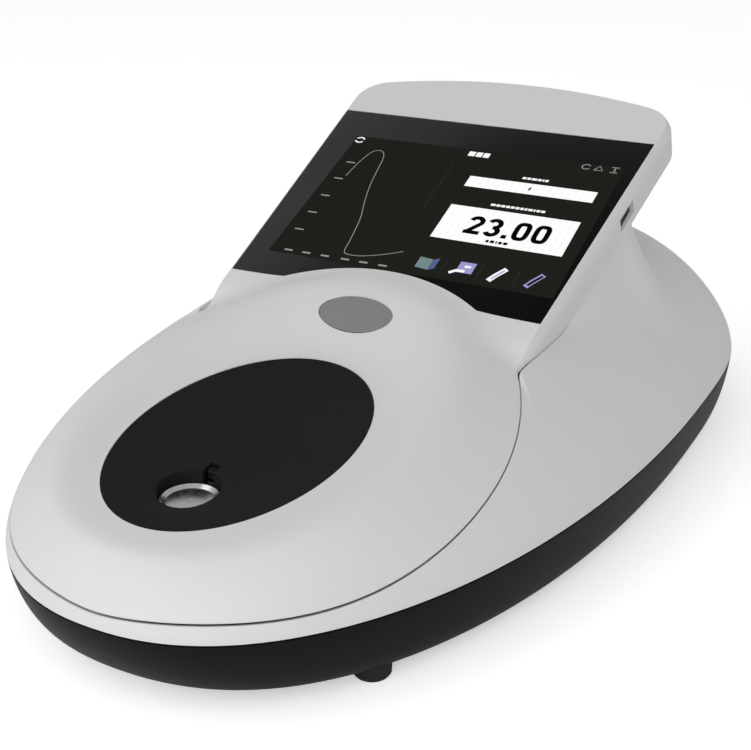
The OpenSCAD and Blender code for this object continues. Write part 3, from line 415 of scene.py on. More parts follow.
def metal(name, colour, rough, stretch=(1, 1, 1), grain=900, bump=0.1):
    """Metal with brushing that runs along the axis with the smallest stretch."""
    mat, tree, bsdf = node_material(name)
    coords = tree.nodes.new("ShaderNodeTexCoord").outputs["Object"]
    mapping = tree.nodes.new("ShaderNodeMapping")
    mapping.inputs["Scale"].default_value = stretch
    tree.links.new(coords, mapping.inputs["Vector"])
    lines = noise(tree, grain, 4, 0.6, mapping.outputs["Vector"])
    bsdf.inputs["Metallic"].default_value = 1
    darker = tuple(c * BRUSH_DARK for c in colour)
    tree.links.new(blend_colour(tree, spread(tree, lines, 0, 1), darker, colour), bsdf.inputs["Base Color"])
    tree.links.new(spread(tree, lines, *(rough * g for g in BRUSH_GLOSS)), bsdf.inputs["Roughness"])
    add_bump(tree, bsdf, lines, bump, BRUSH_DEPTH)
    return mat


def lid_metal(name, colour, arm_shade_colour):
    """Turned metal of the lid's disc; from just past the disc's edge on, its arm is painted near black, as
    painted shade.
    """
    mat, tree, bsdf = node_material(name)
    lines = noise(tree, LID_SCALE, 2)
    centre = tree.nodes.new("ShaderNodeVectorMath")
    centre.operation = "DISTANCE"
    centre.inputs[1].default_value = (0, PORT_Y * MM, 0)
    flat = tree.nodes.new("ShaderNodeMapping")
    flat.inputs["Scale"].default_value = (1, 1, 0)
    tree.links.new(tree.nodes.new("ShaderNodeTexCoord").outputs["Object"], flat.inputs["Vector"])
    tree.links.new(flat.outputs["Vector"], centre.inputs[0])
    # Painted shade: past the disc's edge the colour turns to the arm's near black
    arm_in_shade = tree.nodes.new("ShaderNodeMath")
    arm_in_shade.operation = "GREATER_THAN"
    arm_in_shade.inputs[1].default_value = (LID_D / 2 + ARM_SHADE_START) * MM
    tree.links.new(centre.outputs["Value"], arm_in_shade.inputs[0])
    darker = tuple(c * LID_DARK for c in colour)
    brushed = blend_colour(tree, spread(tree, lines, 0, 1), darker, colour)
    mix = tree.nodes.new("ShaderNodeMix")
    mix.data_type = "RGBA"
    tree.links.new(arm_in_shade.outputs[0], mix.inputs["Factor"])
    tree.links.new(brushed, mix.inputs["A"])
    mix.inputs["B"].default_value = (*arm_shade_colour, 1)
    tree.links.new(mix.outputs["Result"], bsdf.inputs["Base Color"])
    bsdf.inputs["Metallic"].default_value = 1
    tree.links.new(spread(tree, lines, *LID_GLOSS), bsdf.inputs["Roughness"])
    return mat


def glowing(name, colour):
    """A lit part of the display, with its faint rows of pixels."""
    mat, tree, bsdf = node_material(name)
    wave = tree.nodes.new("ShaderNodeTexWave")
    wave.inputs["Scale"].default_value = 1 / PIXEL_ROW / WAVES_PER_SCALE
    coords = tree.nodes.new("ShaderNodeTexCoord")
    tree.links.new(coords.outputs["Object"], wave.inputs["Vector"])
    dim = tuple(c * PIXEL_DIM for c in colour)
    mix = blend_colour(tree, wave.outputs["Fac"], dim, colour)
    bsdf.inputs["Base Color"].default_value = (0, 0, 0, 1)
    bsdf.inputs["Roughness"].default_value = 0.4
    bsdf.inputs["Specular IOR Level"].default_value = 0
    tree.links.new(mix, bsdf.inputs["Emission Color"])
    bsdf.inputs["Emission Strength"].default_value = 1
    return mat


def across(tree, axis, start, end):
    """Smooth step along one axis of the frame, from 0 at start to 1 at end, in mm."""
    split = tree.nodes.new("ShaderNodeSeparateXYZ")
    tree.links.new(tree.nodes.new("ShaderNodeTexCoord").outputs["Object"], split.inputs[0])
    step = tree.nodes.new("ShaderNodeMapRange")
    step.interpolation_type = "SMOOTHSTEP"
    step.inputs["From Min"].default_value = start * MM
    step.inputs["From Max"].default_value = end * MM
    tree.links.new(split.outputs[axis], step.inputs["Value"])
    return step.outputs["Result"]


def glass_black(name, colour, shaded_colour, rough, spec):
    """Gloss glass over black ink, with painted shade that darkens it toward its right and its top, and a
    trace of smudge.
    """
    mat, tree, bsdf = node_material(name)
    smudge = noise(tree, *SMUDGE)
    # Painted shade: the colour darkens toward the right and the top
    toward_shade = tree.nodes.new("ShaderNodeMath")
    toward_shade.operation = "MAXIMUM"
    tree.links.new(across(tree, "X", *GLASS_SHADE_X), toward_shade.inputs[0])
    tree.links.new(across(tree, "Z", *GLASS_SHADE_Z), toward_shade.inputs[1])
    tone = blend_colour(tree, toward_shade.outputs[0], colour, shaded_colour)
    tree.links.new(tone, bsdf.inputs["Base Color"])
    tree.links.new(spread(tree, smudge, *(rough * g for g in SMUDGE_GLOSS)), bsdf.inputs["Roughness"])
    bsdf.inputs["Specular IOR Level"].default_value = spec
    return mat


def clear_glass(name):
    """Fused silica."""
    mat, tree, bsdf = node_material(name)
    faint = noise(tree, SILICA_SCALE, 2)
    bsdf.inputs["Base Color"].default_value = SILICA_TINT
    bsdf.inputs["Transmission Weight"].default_value = 1
    bsdf.inputs["IOR"].default_value = SILICA_IOR
    tree.links.new(spread(tree, faint, *SILICA_GLOSS), bsdf.inputs["Roughness"])
    return mat


SHELL_GREY = (0.60, 0.595, 0.585)
MATS = {
    "shell_grey": plastic("shell_grey", SHELL_GREY, 0.42, bump=0.10, vary=0.012, spec=0.4),
    "tray_black": plastic("tray_black", (0.0045, 0.0045, 0.0047), 0.42, bump=0.15, vary=0.15, spec=0.1),
    # Both glasses: the second colour is painted shade toward the right and the top
    "screen_glass": glass_black("screen_glass", (0.030, 0.030, 0.030), (0.002, 0.002, 0.002),
                                rough=0.06, spec=0.07),
    "lcd": glass_black("lcd", (0.010, 0.010, 0.008), (0.008, 0.008, 0.007), rough=0.12, spec=0.3),
    "steel": metal("steel", (0.62, 0.62, 0.63), 0.3, stretch=(1, 12, 1)),
    "circuit_board": plastic("circuit_board", (0.015, 0.14, 0.06), 0.3, grain=900, vary=0.2),
    "badge_metal": metal("badge_metal", (0.36, 0.36, 0.36), 0.42, stretch=(1, 30, 30), grain=500, bump=0.06),
    "dish_black": plastic("dish_black", (0.0065, 0.0065, 0.0065), 0.6, grain=3200, bump=0.2, vary=0.08,
                          spec=0.1),
    # The lid's arm colour is painted shade
    "lid_metal": lid_metal("lid_metal", (0.62, 0.62, 0.62), arm_shade_colour=(0.01, 0.01, 0.01)),
    "mirror": metal("mirror", (0.9, 0.9, 0.9), 0.05),
    "aluminium": metal("aluminium", (0.5, 0.5, 0.52), 0.38, stretch=(1, 14, 1)),
    "silica": clear_glass("silica"),
    "rubber": plastic("rubber", (0.012, 0.012, 0.012), 0.75, grain=1500, bump=0.3, vary=0.1, spec=0.3),
    "black_plastic": plastic("black_plastic", (0.02, 0.02, 0.021), 0.4, vary=0.1),
    "brass": metal("brass", (0.72, 0.52, 0.24), 0.3),
    "ribbon": plastic("ribbon", (0.5, 0.5, 0.5), 0.45, vary=0.1),
    "fibre_jacket": plastic("fibre_jacket", (0.62, 0.24, 0.04), 0.5, vary=0.08),
}
slot_of = {row["node"]: row["material_slot"] for row in frame["record"]["subparts"]}
for node, obj in frame["nodes"].items():
    obj.data.materials.clear()
    obj.data.materials.append(MATS[slot_of[node]])


def dress(obj, slot, node=None, body="root"):
    """Give a piece its finish, its body and the CAD node that it stands for."""
    obj.data.materials.clear()
    obj.data.materials.append(MATS[slot])
    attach(obj, body)
    if node:
        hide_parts(node)


# Front cover
OVAL_STEPS = 120
SIDE_STEPS = 70
SIDE_BIAS = 1.25
CORNER_STEPS = 24
TOP_STEPS = 40


def cover_outline():
    """Plan points, outward directions and slab share, from nose to tail."""
    a = KINK_A * np.linspace(0, 1, OVAL_STEPS + 1)
    reach = np.where(a > math.pi / 2, POD_REAR, POD_FRONT)
    oval = np.stack([POD_HW * np.sin(a), POD_Y - reach * np.cos(a)], -1)
    oval_out = np.stack([np.sin(a), -np.cos(a), 0 * a], -1)
    s = np.linspace(0, 1, SIDE_STEPS + 1)[1:]
    v = KINK_V + (CORNER_V - KINK_V) * s ** SIDE_BIAS
    side = on_slab(edge_x(v), v, 0)
    side_out = np.tile([1.0, 0, 0], (SIDE_STEPS, 1))
    b = CORNER_A * np.linspace(0, 1, CORNER_STEPS + 1)[1:]
    corner = on_slab(CORNER_X + SLAB_CORNER * np.cos(b), CORNER_V + SLAB_CORNER * np.sin(b), 0)
    c = CORNER_A + (math.pi / 2 - CORNER_A) * np.linspace(0, 1, TOP_STEPS + 1)[1:]
    top = on_slab(SLAB_ARC * np.cos(c), ARC_V + SLAB_ARC * np.sin(c), 0)
    turn = np.concatenate([b, c])
    turn_out = np.stack([np.cos(turn), np.sin(turn) * COS_T, np.sin(turn) * SIN_T], -1)
    plan = np.concatenate([oval, side[:, :2], corner[:, :2], top[:, :2]])
    out = np.concatenate([oval_out, side_out, turn_out])
    risen = ease((side[:, 1] - KINK_Y) / RISE_LEN)
    slabness = np.concatenate([np.zeros(OVAL_STEPS + 1), risen, np.ones(len(turn))])
    return plan, out, slabness


# Edge of the cover: the pod's thin lip and the slab's wall with its rounded heel
EDGE_R = 0.45
LEDGE_W = 1
LIP_DROP = 3.6
LIP_POWER = 1.3
POD_LIP = 1
HEEL_W = 1.2
HEEL_H = 1.6
HEEL_OUT = 0.2
BULGE_RISE = 1.2
# Rings between the dish's rim and the edge, as stretches of shares, and those that the inside follows
FLAT_RINGS = ((0, 0.03, 5), (0.03, 0.4, 62), (0.4, 1, 36))
COVER_INSIDE = (97, 80, 62, 50, 40, 30, 20, 10, 0)


def lip_profiles():
    """Edge profiles as (outward, down) pairs: the pod's thin lip and the slab's wall."""
    a = np.linspace(0, math.pi / 2, 9)
    lip = np.linspace(0, 1, 9)
    heel = a[2::2]
    pod = np.concatenate([
        np.stack([EDGE_R * (np.sin(a) - 1), EDGE_R * (1 - np.cos(a))], -1),
        np.stack([np.zeros(10), np.linspace(EDGE_R, WALL, 11)[1:]], -1),
        [[-POD_LIP / 2, WALL], [-POD_LIP, WALL]]])
    slab = np.concatenate([
        np.stack([SIDE_BULGE * lip, LIP_DROP * lip ** LIP_POWER], -1),
        np.stack([np.full(5, SIDE_BULGE), np.linspace(LIP_DROP, SLAB_T - HEEL_H, 6)[1:]], -1),
        np.stack([SIDE_BULGE - HEEL_W * (1 - np.cos(heel)), SLAB_T - HEEL_H + HEEL_H * np.sin(heel)], -1),
        [[HEEL_OUT, SLAB_T], [-BEZEL - LEDGE_W, SLAB_T], [-BEZEL - LEDGE_W, WALL]]])
    return pod, slab


def cover_rings():
    """Closed rings of the front cover: over its top, round its edge and back inside."""
    plan, out, slabness = cover_outline()
    bulged = ease((plan[:, 1] - KINK_Y) / BULGE_RISE)
    bulged[:OVAL_STEPS + 1] = 0
    middle = np.array([0, DISH_Y])
    rim = middle + (plan - middle) / dish_rho(plan[:, 0], plan[:, 1])[:, None]
    span = np.linalg.norm(plan - rim, axis=1)
    stop = 1 - EDGE_R * (1 - slabness) / span
    share = np.concatenate([[0]] + [np.linspace(*stretch)[1:] for stretch in FLAT_RINGS])
    flat = rim + (plan - rim) * (share[:, None] * stop)[..., None]
    outer = np.concatenate([flat, cover_z(flat[..., 0], flat[..., 1])[..., None]], -1)
    edge = np.concatenate([plan, cover_z(plan[:, 0], plan[:, 1])[:, None]], -1)
    normal = ring_normals(mirrored(outer))[:, :len(plan)]
    tangent = unit(edge - outer[-3])
    pod_down = -unit(np.cross(tangent, np.cross(normal[-2], tangent)))
    s = slabness[:, None]
    outward = unit(tangent * (1 - s) + out * s)
    down = unit(pod_down * (1 - s) + np.array([0, SIN_T, -COS_T]) * s)
    pod, slab = lip_profiles()
    lip = []
    for k in range(len(pod)):
        o = pod[k][0] * (1 - slabness) + slab[k][0] * bulged
        d = pod[k][1] * (1 - slabness) + slab[k][1] * slabness
        lip.append(edge + outward * o[:, None] + down * d[:, None])
    inner = [outer[i] - WALL * (np.array([0, 0, 1.0]) if i == 0 else normal[i]) for i in COVER_INSIDE]
    return mirrored(np.concatenate([outer, np.array(lip), np.array(inner)]))


# Seats cut into the cover; the glass fits closer than in the part, so no pale strip shows beside it
GLASS_FIT = 0.42
GLASS_GROW = 0.36
GLASS_LEDGE = 2.2
RECESS_UP = 3
USB_FACE = edge_x(USB_UP) + SIDE_BULGE
USB_SINK = 1.2
USB_FIT = 0.3
USB_CUT = (4, 6)
BADGE_FIT = 0.15
BADGE_SINK = 1
BADGE_UP = 5
CASE_SHARP = 32


def make_front_cover():
    cover = loft("cover_moulding", cover_rings(), ring_shaped=True)
    recess = move(prism("recess", glass_outline(GLASS_FIT), -GLASS_T, RECESS_UP), SCREEN)
    window = move(prism("window", glass_outline(-GLASS_LEDGE), -2 * WALL, 0), SCREEN)
    usb_x = USB_FACE - USB_SINK
    low = (usb_x - USB_CUT[0], USB_UP - USB_W / 2 - USB_FIT, -USB_DEEP - USB_H / 2 - USB_FIT)
    high = (usb_x + USB_CUT[1], USB_UP + USB_W / 2 + USB_FIT, -USB_DEEP + USB_H / 2 + USB_FIT)
    socket = move(block("socket", low, high), SCREEN)
    turns = np.linspace(0, 2 * math.pi, 97)[:-1]
    oval = [((BADGE_A + BADGE_FIT) * math.cos(a), (BADGE_B + BADGE_FIT) * math.sin(a)) for a in turns]
    seat = move(prism("seat", oval, -BADGE_SINK, BADGE_UP), BADGE)
    cut(cover, [recess, window, socket, seat])
    dress(smooth(cover, CASE_SHARP), "shell_grey", "front_cover")


# Main shell: its edge follows the pod and the slab's wall, then closes behind the slab's neck
FLANK_STEPS = 60
NECK_STEPS = 90
NECK_Y = 64
NECK_LEN = 29
NECK_POWER = 2.5
NECK_DIP = 3
FILLET_LEN = 26
NECK_FILLET = 30
BEHIND_Y = 52
BEHIND_LEN = 38
ROUND_LESS = 0.5
ROUND_LEN = 16
SEAM_D = 15.2
SEAM_CREST = 1.1
SEAM_CLIMB = 0.035
SEAM_START = -31
SEAM_SOFT = 2
FUSE_Y = 6
FUSE_LEN = 10
FUSE_GAP = 0.03
FUSE_SHARP = 0.9
EDGE_RISE = 1.5
SHELL_RINGS = 90
SHELL_BIAS = 1.6
SHELL_INSIDE = (84, 76, 64, 50, 36, 20)


def fused(y):
    """Share to which the shell's edge runs into the slab without a visible joint."""
    return ease((y - FUSE_Y) / FUSE_LEN)


def slab_x(y, z):
    """Half width of the shell's opening beside the slab's wall."""
    v = (y - SCREEN_Y) * COS_T + (z - SCREEN_Z) * SIN_T
    return edge_x(v) + SIDE_BULGE + PARTING - (PARTING - FUSE_GAP) * fused(y)


def seam_height(x, y):
    """Height of the shell's edge along the slab's wall."""
    low = dome_z(x, y) + SEAM_CREST + SEAM_CLIMB * (y - SEAM_START)
    return soft_max(low, face_z(y) - SEAM_D, SEAM_SOFT)


def shell_outline():
    """Plan points of the shell's inner edge and its lift over the dome, from nose to tail."""
    a = KINK_A * np.linspace(0, 1, OVAL_STEPS + 1)
    reach = np.where(a > math.pi / 2, POD_REAR, POD_FRONT) + PARTING
    oval = np.stack([(POD_HW + PARTING) * np.sin(a), POD_Y - reach * np.cos(a)], -1)
    y = KINK_Y + (NECK_Y - KINK_Y) * np.linspace(0, 1, FLANK_STEPS + 1)[1:]
    z = seam_height(KINK_X, y)
    side = np.stack([slab_x(y, z), y], -1)
    u = np.linspace(0, math.pi / 2, NECK_STEPS + 1)[1:]
    neck = np.stack([side[-1, 0] * np.cos(u) ** (2 / NECK_POWER),
                     NECK_Y + NECK_LEN * np.sin(u) ** (2 / NECK_POWER)], -1)
    neck[-1, 0] = 0
    plan = np.concatenate([oval, side, neck])
    x, y = plan.T
    base = dome_z(x, y)
    joined = ease((y - KINK_Y) / EDGE_RISE)
    under = ease((y - NECK_Y) / NECK_LEN * NECK_DIP)
    top = seam_height(x, y) * (1 - under) + np.maximum(base, back_z(y) - PARTING) * under
    return plan, (np.maximum(top, base) - base) * joined


def shell_rings():
    """Closed rings of the shell, its lower edge and the outward directions along that edge."""
    inner_edge, edge_lift = shell_outline()
    hub = np.array([0, WIDE_Y])
    seam = hub + (inner_edge - hub) / egg(inner_edge[:, 0], inner_edge[:, 1])[:, None]
    behind = ease((inner_edge[:, 1] - BEHIND_Y) / BEHIND_LEN)
    roundness = 1 - ROUND_LESS * ease(inner_edge[:, 1] / ROUND_LEN) * (1 - behind)
    reach = FILLET_LEN + (NECK_FILLET - FILLET_LEN) * behind
    edge_r = EDGE_R * (1 - FUSE_SHARP * fused(inner_edge[:, 1]))

    def surface(plan):
        gone = np.clip(np.linalg.norm(plan - inner_edge, axis=-1) / reach, 0, 1)
        fall = 1 - (1 - (1 - gone) ** 2) ** roundness
        height = dome_z(plan[..., 0], plan[..., 1]) + edge_lift * fall
        return np.concatenate([plan, height[..., None]], -1)

    span = np.linalg.norm(seam - inner_edge, axis=1)
    start = edge_r / span
    share = np.linspace(0, 1, SHELL_RINGS) ** SHELL_BIAS
    way = start + (1 - start) * share[:, None]
    plan = inner_edge + (seam - inner_edge) * way[..., None]
    outer = surface(plan)
    outer[-1, :, 2] = SEAM_Z
    corner = surface(inner_edge[None])[0]
    normal = ring_normals(mirrored(outer))[:, :len(inner_edge)]
    tangent = unit(corner - outer[0])
    down = -normal[0]
    r = edge_r[:, None]
    rounded = [corner + tangent * r * (math.sin(a) - 1) + down * r * (1 - math.cos(a))
               for a in np.linspace(math.pi / 2, 0, 8)[:-1]]
    deep = [corner + down * d for d in (WALL, WALL * 0.5)]
    lowest = mirrored(outer)[-1]
    sideways = np.stack([np.gradient(lowest[:, 1]), -np.gradient(lowest[:, 0]), np.zeros(len(lowest))], -1)
    seam_out = unit(sideways)[:len(inner_edge)]
    seam_out[0] = [0, -1, 0]
    seam_out[-1] = [0, 1, 0]
    inner = [outer[-1] - WALL * seam_out] + [outer[i] - WALL * normal[i] for i in SHELL_INSIDE]
    rings = np.concatenate([np.array(rounded), outer, np.array(inner), np.array(deep)])
    return mirrored(rings), outer[-1], seam_out


def make_main_shell():
    rings, seam, seam_out = shell_rings()
    shell = loft("dome_moulding", rings, ring_shaped=True)
    dress(smooth(shell, CASE_SHARP), "shell_grey", "main_shell")
    return seam, seam_out


# Base tray, with the recess for the rear panel and the case screws' holes
NOSE_INSET = 15
SIDE_INSET = 5.4
TAIL_INSET = 7.5
TRAY_POWER = 1.59
GROOVE = 0.6
GROOVE_ANGLE = 3.2
PANEL_W = 84
PANEL_H = 15.5
PANEL_IN = 16
PANEL_SEAT = 1.6
PANEL_LEDGE_X = 2
PANEL_LEDGE_Z = 0.8
PANEL_CUT = 4
PANEL_OVERLAP = 0.1
FRAME_SKIN = 0.4
SCREW_X = 84
SCREW_Y = (10, 105)
SCREW_R = 3.2
SCREW_UP = 4


def make_tray(seam, seam_out):
    """Bowl that hangs from the shell's lower edge."""
    reach = np.where(seam_out[:, 1] < 0, NOSE_INSET, TAIL_INSET)
    inset = SIDE_INSET + (reach - SIDE_INSET) * seam_out[:, 1] ** 2

    def ring(a, inner):
        back = inset * (1 - max(0.0, math.cos(a)) ** (2 / TRAY_POWER)) + inner
        drop = (TRAY_H - inner) * math.sin(a) ** (2 / TRAY_POWER)
        p = seam - seam_out * back[:, None]
        p[:, 2] = SEAM_Z - drop
        return p

    inner = [ring(a, WALL) for a in np.radians([90, 75, 55, 35, 15, 0])]
    groove = [ring(0, 0) - seam_out * GROOVE - np.array([0, 0, drop]) for drop in (0, GROOVE)]
    outer = groove + [ring(a, 0) for a in np.radians(np.linspace(GROOVE_ANGLE, 90, 44))]
    tray = loft("tray_moulding", mirrored(np.array(inner + outer)))
    panel_y = TAIL_Y - PANEL_IN
    panel_z = FOOT_H + TRAY_H / 2 + 1
    frame_low = (-PANEL_W / 2 - WALL, panel_y - PANEL_SEAT, panel_z - PANEL_H / 2 - WALL)
    frame_high = (PANEL_W / 2 + WALL, TAIL_Y, panel_z + PANEL_H / 2 + WALL)
    within = [ring(a, FRAME_SKIN) for a in np.radians(np.linspace(0, 90, 46))]
    pocket_frame = block("frame", frame_low, frame_high)
    cut(pocket_frame, [loft("within", mirrored(np.array(within)))], "INTERSECT")
    cut(tray, [pocket_frame], "UNION")
    low = (-PANEL_W / 2, panel_y - PANEL_OVERLAP, panel_z - PANEL_H / 2)
    high = (PANEL_W / 2, panel_y + 2 * PANEL_IN, panel_z + PANEL_H / 2)
    inner_hw = PANEL_W / 2 - PANEL_LEDGE_X
    inner_hh = PANEL_H / 2 - PANEL_LEDGE_Z
    back_low = (-inner_hw, panel_y - PANEL_CUT, panel_z - inner_hh)
    back_high = (inner_hw, panel_y + PANEL_CUT, panel_z + inner_hh)
    holes = [cylinder("hole", x, y, 0, FOOT_H + SCREW_UP, SCREW_R)
             for x in (SCREW_X, -SCREW_X) for y in SCREW_Y]
    cut(tray, [block("pocket", low, high), block("pocket_back", back_low, back_high)] + holes)
    dress(smooth(tray, CASE_SHARP), "tray_black", "base_tray")


# Sample dish: a shallow bowl round the well of the port, with lugs for the lid's pin
HOLE_R = LID_D / 2 + LID_GAP
LID_TOP = float(rim_z(PORT_Y)) - LID_SINK
PIN_BEHIND = 12.6
PIN_UP = 2.4
PIN_D = 1.2
PIN_FIT = 0.01
PIN_Y = PORT_Y + PIN_BEHIND
PIN_Z = LID_TOP + PIN_UP
LUG_R = 2
LUG_HW = 4.9
LUG_UP = 1.2
SLOT_HW = 1.9
SLOT_LEN = 14.5
SLOT_LOW = 3.7
SLOT_UP = 20
DISH_GAP = 0.2
DISH_WALL = 2
TUBE_LEN = 7
TUBE_WALL = 1.6
SCOOP_W = 6
SCOOP_D = 0.8
WELL_EDGE = 0.35
EDGE_STOPS = (0, 0.08, 0.18, WELL_EDGE)
DISH_SHARP = 40


def make_dish():
    a = np.linspace(0, 2 * math.pi, 241)[:-1]
    rim = np.stack([(DISH_HW - DISH_GAP) * np.sin(a), DISH_Y - (DISH_HL - DISH_GAP) * np.cos(a)], -1)
    port = np.array([0, PORT_Y])
    away = unit(rim - port)

    def bowl(p):
        """Height of the bowl at plan points."""
        hollow = DISH_DEPTH * np.maximum(0, 1 - dish_rho(p[..., 0], p[..., 1]) ** 2)
        return rim_z(p[..., 1]) - DISH_GAP - hollow

    def lifted(p, z):
        return np.concatenate([p, np.broadcast_to(z, p.shape[:-1])[..., None]], -1)

    def near(s, drop=0.0):
        """Ring at s mm from the well, with its scoop and its rounded edge."""
        p = port + (HOLE_R + s) * away
        scoop = SCOOP_D * ease(-away[:, 1]) * (1 - s / SCOOP_W) ** 2
        edge = WELL_EDGE * max(0.0, 1 - s / WELL_EDGE) ** 2
        return lifted(p, bowl(p) - scoop - edge - drop)

    def far(t, drop=0.0):
        """Ring at share t of the way from the scoop to the rim."""
        q = port + (HOLE_R + SCOOP_W) * away
        p = q + (rim - q) * t
        return lifted(p, bowl(p) - drop)

    rings = [lifted(port + HOLE_R * away, LID_TOP - TUBE_LEN)]
    rings += [near(s) for s in EDGE_STOPS]
    rings += [near(s) for s in np.linspace(WELL_EDGE, SCOOP_W, 14)[1:]]
    rings += [far(t) for t in np.linspace(0, 1, 40)[1:]]
    rings += [far(t, DISH_WALL) for t in (1, 0.6, 0)]
    rings += [near(TUBE_WALL, DISH_WALL), lifted(port + (HOLE_R + TUBE_WALL) * away, LID_TOP - TUBE_LEN)]
    dish = loft("dish_moulding", np.array(rings), ring_shaped=True)
    lugs = block("lugs", (-LUG_HW, PIN_Y - LUG_R, PIN_Z - LUG_R), (LUG_HW, PIN_Y + LUG_R, PIN_Z + LUG_UP))
    cut(dish, [lugs], "UNION")
    slot_high = (SLOT_HW, PORT_Y + SLOT_LEN, LID_TOP + SLOT_UP)
    slot = block("slot", (-SLOT_HW, PORT_Y, LID_TOP - SLOT_LOW), slot_high)
    bore = cylinder("bore", 0, 0, -LUG_HW - 1, LUG_HW + 1, PIN_D / 2 + PIN_FIT)
    along_x = Matrix.Translation(Vector((0, PIN_Y, PIN_Z)) * MM) @ Matrix.Rotation(math.pi / 2, 4, "Y")
    cut(dish, [slot, move(bore, along_x)])
    dress(smooth(dish, DISH_SHARP), "dish_black", "dish_insert")


# Cover glass
BEVEL_W = 0.35
BEVEL_ANGLE = 40
GLASS_SHARP = 25


def make_glass():
    glass = move(prism("glass_plate", glass_outline(GLASS_GROW), -GLASS_T, 0), SCREEN)
    bevel = glass.modifiers.new("bevel", "BEVEL")
    bevel.width = BEVEL_W * MM
    bevel.segments = 3
    bevel.limit_method = "ANGLE"
    bevel.angle_limit = math.radians(BEVEL_ANGLE)
    apply_modifiers(glass)
    dress(smooth(glass, GLASS_SHARP), "screen_glass", "screen_glass")


make_front_cover()
make_tray(*make_main_shell())
make_dish()
make_glass()

# Display image: thin layers on the glass, with plain numbers, bars for words and generic signs.
# x runs to the right and v up the glass, in mm; the levels go from the background up to the ink.
LAYER = 0.02
BACKGROUND, PAPER, TYPE = 0.75, 2, 3
LCD_X = (-55.2, 63.5)
LCD_V = (13.5, 92.5)
BOX_X = (4.8, 58.2)
SAMPLE_V = (68.8, 75.5)
RESULT_V = (36.0, 56.6)
DIGIT_V = 46.3
DIGIT_X = (19.3, 27.0, 38.5, 46.4)
DIGIT_H = 10.9
DIGIT_W = 6.6
STROKE = 2.1
POINT = (32.7, 42.0)
ROUND_OFF = 2 / 3.4
SAMPLE_MARK = (72.1, 0.8, 2.0)
# Words: place, height of the bars where it is their own, and widths of the bars
UNIT_WORD = (38.2, 1.5, (1.2, 1.7, 0.6, 1.4, 1.7))
TITLE = ((2.5, 89.7), 3.0, (2.9, 2.6, 2.6))
CAPTION_H = 1.3
CAPTION_GAP = 0.4
SAMPLE_CAPTION = (78.4, (1.6, 1.5, 2.2, 1.5, 0.7, 1.4))
RESULT_CAPTION = (59.6, (2.0, 1.6, 1.6, 1.6, 1.5, 1.6, 1.4, 1.0, 1.8, 0.8, 1.5, 1.6))
# Graph, signs and dividing lines
TICK_X = -49.3
TICKS_V = (28.4, 39.6, 50.9, 62.7, 74.0)
TICK_V = 15.6
TICKS_X = (-47.1, -39.1, -30.8, -21.9, -13.9, -5.7)
SIGN_V = 90.4
SIGN_LINE = 0.45
TURN_X, TURN_V = -52.9, 89.8
CURVE = ((-47.1, 65), (-45.6, 76), (-43.3, 83), (-39.5, 84), (-36.9, 80), (-35.2, 70), (-33.7, 61),
         (-30.8, 50), (-27.6, 40), (-25.4, 27), (-24.6, 20.5), (-22.6, 18.6), (-17, 18.8), (-9, 21.4),
         (-1.4, 25.1))
CURVE_LINE = 0.32
RULE = (-5.4, 66, 0.4, 30)
ICON_RULES = ((17.6, 32, 46.6), 20.7, 0.4, 9)
INK = {
    "display_dark": (0.0144, 0.0144, 0.0116),
    "display_white": (1.0, 1.0, 1.0),
    "display_black": (0.002, 0.002, 0.002),
    "display_grey": (0.30, 0.30, 0.30),
    "display_faint": (0.026, 0.026, 0.024),
    "display_teal": (0.17, 0.25, 0.26),
    "display_lavender": (0.34, 0.34, 0.62),
    "display_blue": (0.10, 0.12, 0.30),
}
for ink, colour in INK.items():
    MATS[ink] = glowing(ink, colour)


def join(name, pieces):
    """One mesh of several, which are used up."""
    points, faces = [], []
    for piece in pieces:
        start = len(points)
        points += [tuple(v.co) for v in piece.data.vertices]
        faces += [tuple(start + k for k in p.vertices) for p in piece.data.polygons]
        bpy.data.objects.remove(piece)
    return add_mesh(name, points, faces, 1)


def plate(outline, level):
    """A thin layer of the display image over a counter-clockwise outline in mm."""
    return prism("layer", outline, (level - 0.5) * LAYER, (level + 0.5) * LAYER)


def bar(x, v, width, height, level, lean=0.0):
    """A bar centred on x and v, its top moved right by the lean and its foot left."""
    w, h = width / 2, height / 2
    foot = [(x - w - lean, v - h), (x + w - lean, v - h)]
    return plate(foot + [(x + w + lean, v + h), (x - w + lean, v + h)], level)


def word(x, v, widths, height, level, gap=0.55):
    """A row of short bars in place of a word, centred on x."""
    left = x - (sum(widths) + gap * (len(widths) - 1)) / 2
    row = []
    for width in widths:
        row.append(bar(left + width / 2, v, width, height, level))
        left += width + gap
    return row


def stroke(path, width, level, closed=False):
    """A ribbon of even width along a path in the plane of the display."""
    path = np.asarray(path, float)
    along = np.roll(path, -1, 0) - np.roll(path, 1, 0) if closed else np.gradient(path, axis=0)
    side = unit(np.stack([along[:, 1], -along[:, 0]], -1)) * width / 2
    low = np.full((len(path), 1), (level - 0.5) * LAYER)
    high = low + LAYER
    corners = [np.hstack([path + side, low]), np.hstack([path + side, high]),
               np.hstack([path - side, high]), np.hstack([path - side, low])]
    return loft("stroke", np.stack(corners, 1), ring_shaped=closed)


def arc(x, v, a, b, start, end, steps=24):
    """Part of an ellipse round x and v, between two angles in degrees."""
    t = np.radians(np.linspace(start, end, steps))
    return np.stack([x + a * np.cos(t), v + b * np.sin(t)], -1)


